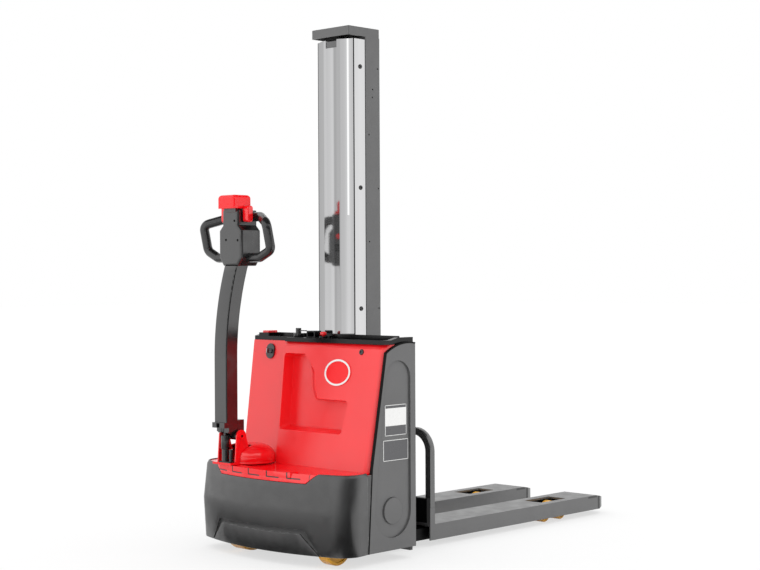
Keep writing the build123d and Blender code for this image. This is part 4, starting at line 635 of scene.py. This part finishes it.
# Finish of each material slot of the record
finishes = {
    "graphite_paint": steel_paint("graphite_paint"),
    "black_paint": surface("black_paint", BLACK, 0.42, ior=1.25, grain=900),
    "red_paint": red_finish("red_paint", 0.16, 1.8, 900),
    # The skirt's lighter edges are partly wear and partly a painted highlight along the brim and the pad's
    # border.
    "skirt_plastic": surface(
        "skirt_plastic", SOOT, 0.36, ior=2.1, variation=0.05, grain=1400, grain_depth=0.000002,
        wear_colour=SKIRT_EDGE_WEAR_AND_HIGHLIGHT, wear=1.0, rim=0.0055,
    ),
    "red_plastic": red_finish("red_plastic"),
    "black_plastic": surface("black_plastic", SOOT, 0.24, ior=1.8, grain=1600, grain_depth=0.00003),
    "badge_plastic": badge_finish(),
    "silver_sheet": mast_finish(),
    "arm_casting": surface("arm_casting", SOOT, 0.16, ior=2.0, grain=900, grain_depth=0.00001),
    "bright_steel": surface("bright_steel", STEEL, 0.28, metallic=1.0, grain=1200, grain_depth=0.00002),
    "chrome_rod": surface(
        "chrome_rod", CHROME, 0.08, metallic=1.0, variation=0.03, grain=2000, grain_depth=0.000005,
    ),
    "chain_steel": surface("chain_steel", CHAIN_GREY, 0.42, metallic=1.0, grain=1500),
    "cast_iron": surface("cast_iron", IRON, 0.6, ior=1.6, grain=450, grain_depth=0.0002),
    "amber_urethane": surface("amber_urethane", AMBER, 0.32, variation=0.06, grain=600),
    "battery_case": surface("battery_case", CASE_BLACK, 0.45, grain=900),
}

# Finish of each node that has its own
head_plastic = surface("head_plastic", SOOT, 0.3, ior=2.1, grain=1600, grain_depth=0.00002)
panel_paint = panel_finish()
own_finishes = {
    "mast_strips": strip_finish(),
    "controller": sheet_finish("controller_sheet", SHEET),
    "load_backrest": hoop_finish(),
    "chassis_frame": frame_finish(),
    "side_panel_left": panel_paint,
    "side_panel_right": panel_paint,
    "belly_button": red_finish("belly_plastic", 0.22, 1.6, 900),
    "tiller_pin": pin_finish(),
    "floor_cover": tread_finish(),
    "main_cover": red_finish("cover_plastic", 0.34),
    "top_tray": surface("tray_plastic", TRAY_BLACK, 0.2, ior=1.42, grain=1600, grain_depth=0.00002),
    "head_lower_shell": head_plastic,
    "head_upper_shell": head_plastic,
    "drive_wheel": wheel_finish("drive_wheel", DRIVE_HUB),
    "caster_wheel": wheel_finish("caster_wheel", CASTER_HUB),
}
for side in ("left", "right"):
    own_finishes[f"fork_{side}"] = fork_finish(f"fork_{side}")
    for end in ("front", "rear"):
        wheel = f"load_wheel_{side}_{end}"
        own_finishes[wheel] = wheel_finish(wheel, LOAD_HUB)

slots = {subpart["node"]: subpart["material_slot"] for subpart in frame["record"]["subparts"]}


def dress_frame():
    """Gives every CAD node its finish and softens its edges."""
    for name, node in frame["nodes"].items():
        node.data.materials.clear()
        node.data.materials.append(own_finishes.get(name, finishes[slots[name]]))
        weld = node.modifiers.new("weld", "WELD")
        weld.merge_threshold = WELD_REACH
        if name in WIDE_EDGES:
            flat = node.modifiers.new("flat", "DECIMATE")
            flat.decimate_type = "DISSOLVE"
            flat.angle_limit = math.radians(FLAT_ANGLE)
        bevel = node.modifiers.new("edges", "BEVEL")
        bevel.width = WIDE_EDGES.get(name, EDGE)
        bevel.segments = WIDE_EDGE_SEGMENTS if name in WIDE_EDGES else EDGE_SEGMENTS
        bevel.limit_method = "ANGLE"
        bevel.angle_limit = math.radians(EDGE_ANGLE)
        bevel.harden_normals = True


# Mesh helpers
def facing(centre, axis):
    """Local frame whose Z axis points along an axis."""
    return Matrix.Translation(centre) @ Vector(axis).to_track_quat("Z", "Y").to_matrix().to_4x4()


def lathe(mesh, profile, matrix, segments=20):
    """Turns a profile of (radius, height) round the local Z axis; a radius of 0 closes it."""
    rings = []
    for radius, height in profile:
        if radius == 0:
            rings.append([mesh.verts.new(matrix @ Vector((0, 0, height)))])
            continue
        ring = []
        for step in range(segments):
            angle = 2 * math.pi * step / segments
            spot = Vector((radius * math.cos(angle), radius * math.sin(angle), height))
            ring.append(mesh.verts.new(matrix @ spot))
        rings.append(ring)
    for low, high in zip(rings, rings[1:]):
        for step in range(segments):
            after = (step + 1) % segments
            corners = [
                low[step % len(low)], low[after % len(low)],
                high[after % len(high)], high[step % len(high)],
            ]
            mesh.faces.new(list(dict.fromkeys(corners)))


def skin(mesh, rings):
    """Joins rings of equal length into a tube and closes both its ends."""
    count = len(rings[0])
    for low, high in zip(rings, rings[1:]):
        for step in range(count):
            after = (step + 1) % count
            mesh.faces.new((low[step], low[after], high[after], high[step]))
    mesh.faces.new(rings[-1])
    mesh.faces.new(list(reversed(rings[0])))


def slab(mesh, outline, thickness, matrix, rim=0.0):
    """A plate of an outline, its front edge drawn in by a rim."""
    middle_x = sum(x for x, y in outline) / len(outline)
    middle_y = sum(y for x, y in outline) / len(outline)
    layers = [(0, 1), (thickness - rim, 1)]
    if rim:
        reach = max(abs(x - middle_x) for x, y in outline)
        layers.append((thickness, 1 - rim / reach))
    rings = []
    for height, scale in layers:
        ring = []
        for x, y in outline:
            spot = (middle_x + (x - middle_x) * scale, middle_y + (y - middle_y) * scale, height)
            ring.append(mesh.verts.new(matrix @ Vector(spot)))
        rings.append(ring)
    skin(mesh, rings)


def rounded_box(width, height, radius, steps=5):
    """Outline of a rectangle with round corners about the origin."""
    outline = []
    corners = ((1, 1, 0), (-1, 1, 90), (-1, -1, 180), (1, -1, 270))
    for side_x, side_y, start in corners:
        for step in range(steps + 1):
            angle = math.radians(start + 90 * step / steps)
            x = side_x * (width / 2 - radius) + radius * math.cos(angle)
            y = side_y * (height / 2 - radius) + radius * math.sin(angle)
            outline.append((x, y))
    return outline


def arc_through(start, crown, end, steps=10):
    """Points of the arc through three points, without its start."""
    (ax, ay), (bx, by), (cx, cy) = start, crown, end
    twice = 2 * (ax * (by - cy) + bx * (cy - ay) + cx * (ay - by))
    a_square, b_square, c_square = ax**2 + ay**2, bx**2 + by**2, cx**2 + cy**2
    x = (a_square * (by - cy) + b_square * (cy - ay) + c_square * (ay - by)) / twice
    y = (a_square * (cx - bx) + b_square * (ax - cx) + c_square * (bx - ax)) / twice
    radius = math.hypot(ax - x, ay - y)
    first, last = math.atan2(ay - y, ax - x), math.atan2(cy - y, cx - x)
    angles = [first + (last - first) * step / steps for step in range(1, steps + 1)]
    return [(x + radius * math.cos(angle), y + radius * math.sin(angle)) for angle in angles]


def sweep(mesh, path, profile, face_y, outward):
    """Sweeps a closed profile of (out, up) along a path of (x, z) with mitred corners, on an upright face."""
    rings = []
    for index, (x, z) in enumerate(path):
        before = Vector(path[index]) - Vector(path[index - 1]) if index else None
        after = Vector(path[index + 1]) - Vector(path[index]) if index < len(path) - 1 else None
        normals = [Vector((-run.y, run.x)).normalized() for run in (before, after) if run]
        normal = sum(normals, Vector((0, 0))).normalized()
        mitred = normal / max(MITRE_FLOOR, normal.dot(normals[0]))
        ring = []
        for out, up in profile:
            ring.append(mesh.verts.new((x + mitred.x * out, face_y + outward * up, z + mitred.y * out)))
        rings.append(ring)
    skin(mesh, rings)


def piece(name, mesh, material, body):
    """Makes a mesh a piece that rides a body, or a piece on no body when none is given."""
    bmesh.ops.recalc_face_normals(mesh, faces=mesh.faces)
    data = bpy.data.meshes.new(name)
    mesh.to_mesh(data)
    mesh.free()
    for face in data.polygons:
        face.use_smooth = True
    data.set_sharp_from_angle(angle=math.radians(SMOOTH_ANGLE))
    data.materials.append(material)
    item = bpy.data.objects.new(name, data)
    bpy.context.scene.collection.objects.link(item)
    if body:
        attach(item, body)
    return item


# Fasteners
def screw_profile(radius, rise):
    """A pan head with a round socket, from its rim to the socket's floor."""
    return (
        (radius, 0), (radius, rise * 0.4), (radius * 0.86, rise * 0.85), (radius * 0.62, rise),
        (radius * 0.42, rise), (radius * 0.4, rise * 0.3), (0, rise * 0.25),
    )


def strip_screws():
    """Large black screws that hold the mast cover's strips on both sides."""
    low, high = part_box("mast_strips")
    profile = screw_profile(STRIP_SCREW_RADIUS, STRIP_SCREW_RISE)
    for side, y in (("right", low[1]), ("left", high[1])):
        out = (0, math.copysign(1, y), 0)
        mesh = bmesh.new()
        for z in STRIP_SCREW_HEIGHTS:
            lathe(mesh, profile, facing((STRIP_SCREW_X, y, z), out))
        piece(f"strip_screws_{side}", mesh, finishes["black_plastic"], "chassis")


def head_screws():
    """Small screws that hold the head's shells together, on the operator's side."""
    face_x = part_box("head_lower_shell")[0][0]
    profile = screw_profile(HEAD_SCREW_RADIUS, HEAD_SCREW_RISE)
    mesh = bmesh.new()
    for y, z in HEAD_SCREWS:
        lathe(mesh, profile, facing((face_x, y, z), (-1, 0, 0)), segments=16)
    piece("head_screws", mesh, finishes["black_paint"], "tiller")


def cover_catch():
    """The black catch near the top of the main cover."""
    low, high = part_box("main_cover")
    z = high[2] - CATCH_DROP
    x = low[0] + COVER_SLOPE * (z - low[2])
    profile = screw_profile(CATCH_RADIUS, CATCH_RISE)
    mesh = bmesh.new()
    lathe(mesh, profile, facing((x, CATCH_Y, z), cover_outward()), segments=28)
    piece("cover_catch", mesh, finishes["black_plastic"], "chassis")


# Trim of the side panels
def panel_sides():
    """Each side panel's name, the way it faces along Y and the place of its outer face."""
    return (
        ("right", -1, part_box("side_panel_right")[0][1]),
        ("left", 1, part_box("side_panel_left")[1][1]),
    )


def gap_shade_edges():
    """Black edging round the side panels' rear and upper edges, which also stands in for the shade in the gap
    between the main cover and the panels.
    """
    profile = (
        (SEAL_LAP, -SEAL_DEPTH), (SEAL_LAP, SEAL_RISE * 0.6), (SEAL_LAP * 0.4, SEAL_RISE),
        (-SEAL_WIDTH * 0.8, SEAL_RISE), (-SEAL_WIDTH, SEAL_RISE * 0.4), (-SEAL_WIDTH, -SEAL_RISE * 0.3),
        (-SEAL_LAP, -SEAL_RISE * 0.3), (-SEAL_LAP, -SEAL_DEPTH),
    )
    for name, outward, face_y in panel_sides():
        edge = SEAL_EDGES[name]
        path = [*edge, *arc_through(edge[-1], SEAL_CROWNS[name], SEAL_END)]
        mesh = bmesh.new()
        sweep(mesh, path, profile, face_y, outward)
        # Painted shade: the edging is black so that it shows as the shaded gap.
        piece(f"gap_shade_edge_{name}", mesh, finishes["black_paint"], "chassis")


def seam_fillers():
    """Plates that carry the skirt on to the side panels' slanted edges."""
    for name, outward, face_y in panel_sides():
        inner_y = face_y - outward * FILLER_THICKNESS
        upright = Matrix(((1, 0, 0, 0), (0, 0, outward, inner_y), (0, 1, 0, 0), (0, 0, 0, 1)))
        mesh = bmesh.new()
        slab(mesh, FILLER, FILLER_THICKNESS, upright)
        piece(f"seam_filler_{name}", mesh, finishes["skirt_plastic"], "chassis")


def slit_seals():
    """Foam strips with a round front in the slits between the side panels and the bulkhead."""
    for name, outward, face_y in panel_sides():
        outer, inner = face_y - outward * PANEL_THICKNESS, outward * BULKHEAD_HALF
        middle_y, half = (outer + inner) / 2, abs(outer - inner) / 2
        outline = [(FOAM_BACK, middle_y + half), (FOAM_BACK, middle_y - half)]
        for step in range(FOAM_STEPS + 1):
            angle = math.radians(180 * step / FOAM_STEPS - 90)
            bulge = FOAM_BULGE * math.cos(angle)
            outline.append((FOAM_FRONT + bulge, middle_y + half * math.sin(angle)))
        mesh = bmesh.new()
        slab(mesh, outline, FOAM_TOP - FOAM_FOOT, Matrix.Translation((0, 0, FOAM_FOOT)))
        piece(f"slit_seal_{name}", mesh, finishes["black_plastic"], "chassis")


# Forks
def fork_noses():
    """Slanted plates that close the forks' noses, each with a flat rim round a slightly raised middle."""
    centre = (NOSE_START + NOSE_END) / 2
    for side in ("left", "right"):
        low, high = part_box(f"fork_{side}")
        y = (low[1] + high[1]) / 2
        mesh = bmesh.new()
        rings = []
        for drop, scale in NOSE_LAYERS:
            ring = []
            for back, aside in NOSE_CORNERS:
                lead = centre + (back - centre) * scale
                fall = NOSE_DROP + NOSE_SLOPE * (NOSE_START - lead) + drop
                ring.append(mesh.verts.new((high[0] - lead, y + aside * scale, low[2] + FORK_DEPTH - fall)))
            rings.append(ring)
        skin(mesh, rings)
        piece(f"fork_nose_{side}", mesh, finishes["graphite_paint"], "carriage")


# Bare plates
def outside(tree, corners, rim):
    """1 on the rim of an upright plate, 0 inside it."""
    (low_x, low_z), (high_x, high_z) = corners
    across = size_of(tree, along(tree, ((low_x + high_x) / 2, 0, 0), (1, 0, 0)))
    height = size_of(tree, along(tree, (0, 0, (low_z + high_z) / 2), (0, 0, 1)))
    over_x = over(tree, across, (high_x - low_x) / 2 - rim)
    over_z = over(tree, height, (high_z - low_z) / 2 - rim)
    return any_of(tree, over_x, over_z)


def plate_finish(name, colour, corners, banded=False):
    """A bare plate with a white frame line and, where it is banded, a grey foot and head."""
    material = surface(name, colour, 0.3, variation=0.03, wear=0.1)
    tree = material.node_tree
    if banded:
        (_, low_z), (_, high_z) = corners
        height = along(tree, (0, 0, low_z), (0, 0, 1))
        zone(material, under(tree, height, PLATE_FOOT), PLATE_GREY)
        zone(material, over(tree, height, high_z - low_z - PLATE_HEAD), PLATE_GREY)
    zone(material, outside(tree, corners, PLATE_FRAME), WHITE)
    return material


def side_plates():
    """Two bare plates riveted to the right panel's recess."""
    face_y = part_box("side_panel_right")[0][1] + PANEL_RECESS
    plates = (
        ("rating_plate", plate_finish("plate_white", WHITE, RATING_PLATE, banded=True), RATING_PLATE),
        ("load_plate", plate_finish("plate_grey", PLATE_GREY, LOAD_PLATE), LOAD_PLATE),
    )
    for name, material, (low, high) in plates:
        centre = ((low[0] + high[0]) / 2, face_y, (low[1] + high[1]) / 2)
        width, tall = high[0] - low[0], high[1] - low[1]
        matrix = Matrix.Translation(centre) @ Matrix.Rotation(math.radians(90), 4, "X")
        mesh = bmesh.new()
        slab(mesh, rounded_box(width, tall, PLATE_ROUNDING), PLATE_THICKNESS, matrix, PLATE_RIM)
        for x in (-1, 1):
            for z in (-1, 1):
                spot = (x * (width / 2 - RIVET_INSET), z * (tall / 2 - RIVET_INSET), PLATE_THICKNESS)
                lathe(mesh, RIVET_PROFILE, matrix @ Matrix.Translation(spot), segments=12)
        piece(name, mesh, material, "chassis")


# Lift chain
def chain_link(mesh, start, end, offsets, width_axis):
    """Plates with round ends of one link between two pins."""
    run = (end - start).normalized()
    across = width_axis.cross(run)
    radius = CHAIN_PLATE_HEIGHT / 2
    outline = []
    for centre, turn in ((end, 0), (start, 180)):
        for angle in CHAIN_PLATE_BEARINGS:
            bearing = math.radians(angle + turn)
            outline.append(centre + radius * (run * math.cos(bearing) + across * math.sin(bearing)))
    for offset in offsets:
        rings = []
        for shift in (offset - CHAIN_PLATE / 2, offset + CHAIN_PLATE / 2):
            rings.append([mesh.verts.new(spot + width_axis * shift) for spot in outline])
        skin(mesh, rings)


def chain(name, pins, width, body):
    """Leaf chain along a row of pins: links of four and three plates in turn."""
    across = Vector((0, 1, 0))
    half = width / 2
    step = width / CHAIN_PLATES
    wide, narrow = (-3 * step, -step, step, 3 * step), (-2 * step, 0, 2 * step)
    mesh = bmesh.new()
    for index, (start, end) in enumerate(zip(pins, pins[1:])):
        chain_link(mesh, start, end, wide if index % 2 else narrow, across)
    profile = ((0, -half), (CHAIN_PIN_RADIUS, -half), (CHAIN_PIN_RADIUS, half), (0, half))
    for pin in pins:
        lathe(mesh, profile, facing(pin, across), segments=8)
    return piece(name, mesh, finishes["chain_steel"], body)


def lift_chain():
    """The lift chain: fixed run up from the mast, wrap over the pulley and run down to the carriage."""
    low, high = (Vector(corner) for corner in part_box("chain_carriage_run"))
    fixed_low, fixed_high = (Vector(corner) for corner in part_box("chain_fixed_run"))
    thickness = fixed_high.x - fixed_low.x
    width = high.y - low.y
    y = (low.y + high.y) / 2
    front_x, back_x = high.x - thickness / 2, low.x + thickness / 2
    middle_x, radius = (front_x + back_x) / 2, (front_x - back_x) / 2
    top = fixed_high.z

    def run(x, foot):
        count = round((top - foot) / CHAIN_PITCH)
        return [Vector((x, y, top + (foot - top) * step / count)) for step in range(count + 1)]

    front = chain("chain_front", run(front_x, low.z + CHAIN_PLATE_HEIGHT / 2), width, "rod")
    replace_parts(front, "chain_carriage_run")
    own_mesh(front)
    count = round(math.pi * radius / CHAIN_PITCH)
    arc = []
    for step in range(count + 1):
        angle = math.pi * step / count
        arc.append(Vector((middle_x + radius * math.cos(angle), y, top + radius * math.sin(angle))))
    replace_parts(chain("chain_wrap", arc, width, "rod"), "chain_carriage_run")
    back = chain("chain_back", run(back_x, fixed_low.z + CHAIN_PLATE_HEIGHT / 2), width, None)
    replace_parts(back, "chain_fixed_run")
    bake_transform(back)


# Studio
def sheet_of(name, corners, material):
    """A flat sheet of the stage."""
    mesh = bpy.data.meshes.new(name)
    mesh.from_pydata(corners, [], [(0, 1, 2, 3)])
    mesh.materials.append(material)
    item = bpy.data.objects.new(name, mesh)
    bpy.context.scene.collection.objects.link(item)
    return item


def level(low, high, z):
    """Corners of a level sheet."""
    return [(low[0], low[1], z), (high[0], low[1], z), (high[0], high[1], z), (low[0], high[1], z)]


def square(half, z):
    """Corners of a level square about the origin."""
    return level((-half, -half), (half, half), z)


def reflection_card(name, corners, tone):
    """A card that only reflections show; returns its material."""
    material = surface(name, tone, 0.9, ior=1.0, wear=0.0)
    item = sheet_of(name, corners, material)
    item.visible_camera = False
    item.visible_diffuse = False
    item.visible_shadow = False
    item.visible_transmission = False
    return material


def shown(tree):
    """1 for what the camera, a reflection or a clear piece shows, 0 for light on the object."""
    path = add(tree, "ShaderNodeLightPath")
    seen = any_of(tree, path.outputs["Is Camera Ray"], path.outputs["Is Glossy Ray"])
    return any_of(tree, seen, path.outputs["Is Transmission Ray"])


def mix_shown(tree, share, light, show, target):
    """Sends one shader to the light on the object and another to what is shown."""
    mix = add(tree, "ShaderNodeMixShader")
    for source, socket in zip((share, light, show), mix.inputs):
        join(tree, source, socket)
    join(tree, mix.outputs[0], target)


def floor():
    """White floor that keeps the object's shadow."""
    white = surface(
        "floor_white", FLOOR_TONE, 0.9, ior=1.0, variation=0.003, wear=0.0, grain=300, grain_depth=0.00001,
    )
    tree = white.node_tree
    mix_shown(
        tree,
        math_of(tree, "MULTIPLY", shown(tree), FLOOR_GLOW),
        tree.nodes["Principled BSDF"].outputs[0],
        add(tree, "ShaderNodeEmission").outputs[0],
        tree.nodes["Material Output"].inputs["Surface"],
    )
    sheet_of("floor", square(FLOOR_HALF, 0), white)


def cards():
    """Dark cards on the floor, overhead and far to the right, for the reflections; the floor card carries a
    painted shadow next to the truck.
    """
    corners = level((CARD_FAR_X, -CARD_HALF_Y), (CARD_NEAR_X, CARD_HALF_Y), CARD_LIFT)
    card = reflection_card("card_floor", corners, CARD_TONE)
    tree = card.node_tree
    # Painted shadow: the floor card darkens next to the truck, so reflections show the truck's shadow on the
    # floor.
    past = along(tree, (CARD_NEAR_X, 0, 0), (-1, 0, 0))
    zone(card, spread(tree, past, 0, CARD_FADE, 1, 0), CARD_SHADOW_TONE)
    reflection_card("card_corner", level(CORNER_LOW, CORNER_HIGH, 2 * CARD_LIFT), CARD_SHADOW_TONE)
    reflection_card("card_ceiling", square(CEILING_HALF, CEILING_Z), FLAG_TONE)
    yaw = math.radians(FLAG_YAW)
    centre = FLAG_DISTANCE * Vector((math.cos(yaw), math.sin(yaw), 0))
    aside = Vector((-math.sin(yaw), math.cos(yaw), 0))
    near, far = centre - aside * FLAG_HALF, centre + aside * FLAG_HALF
    rise = Vector((0, 0, FLAG_HEIGHT))
    card = reflection_card("card_flag", [near, far, far + rise, near + rise], FLAG_TONE)
    tree = card.node_tree
    zone(card, spread(tree, along(tree, near, aside), 0, FLAG_HALF, 1, 0), FLAG_FADE_TONE)


def sky():
    """An even sky for light, and plain white for what is shown."""
    world = bpy.data.worlds.new("studio")
    bpy.context.scene.world = world
    world.use_nodes = True
    tree = world.node_tree
    tree.nodes.clear()
    output = add(tree, "ShaderNodeOutputWorld")
    lights = []
    for strength in (SKY, 1.0):
        light = add(tree, "ShaderNodeBackground")
        light.inputs["Color"].default_value = (*FULL_WHITE, 1)
        light.inputs["Strength"].default_value = strength
        lights.append(light.outputs[0])
    mix_shown(tree, shown(tree), *lights, output.inputs["Surface"])


def camera():
    """The photograph's camera."""
    data = bpy.data.cameras.new("camera")
    data.lens = CAMERA_LENS
    data.sensor_width = SENSOR
    data.clip_end = CAMERA_FAR
    item = bpy.data.objects.new("camera", data)
    bpy.context.scene.collection.objects.link(item)
    yaw, pitch = math.radians(CAMERA_YAW), math.radians(CAMERA_PITCH)
    ahead = Vector((math.cos(yaw) * math.cos(pitch), math.sin(yaw) * math.cos(pitch), math.sin(pitch)))
    turn = ahead.to_track_quat("-Z", "Y").to_matrix() @ Matrix.Rotation(math.radians(CAMERA_ROLL), 3, "Z")
    item.matrix_world = Matrix.Translation(CAMERA_PLACE) @ turn.to_4x4()
    bpy.context.scene.camera = item


dress_frame()
strip_screws()
head_screws()
cover_catch()
gap_shade_edges()
seam_fillers()
slit_seals()
fork_noses()
side_plates()
lift_chain()
floor()
cards()
sky()
camera()
bpy.context.scene.view_settings.view_transform = "Standard"
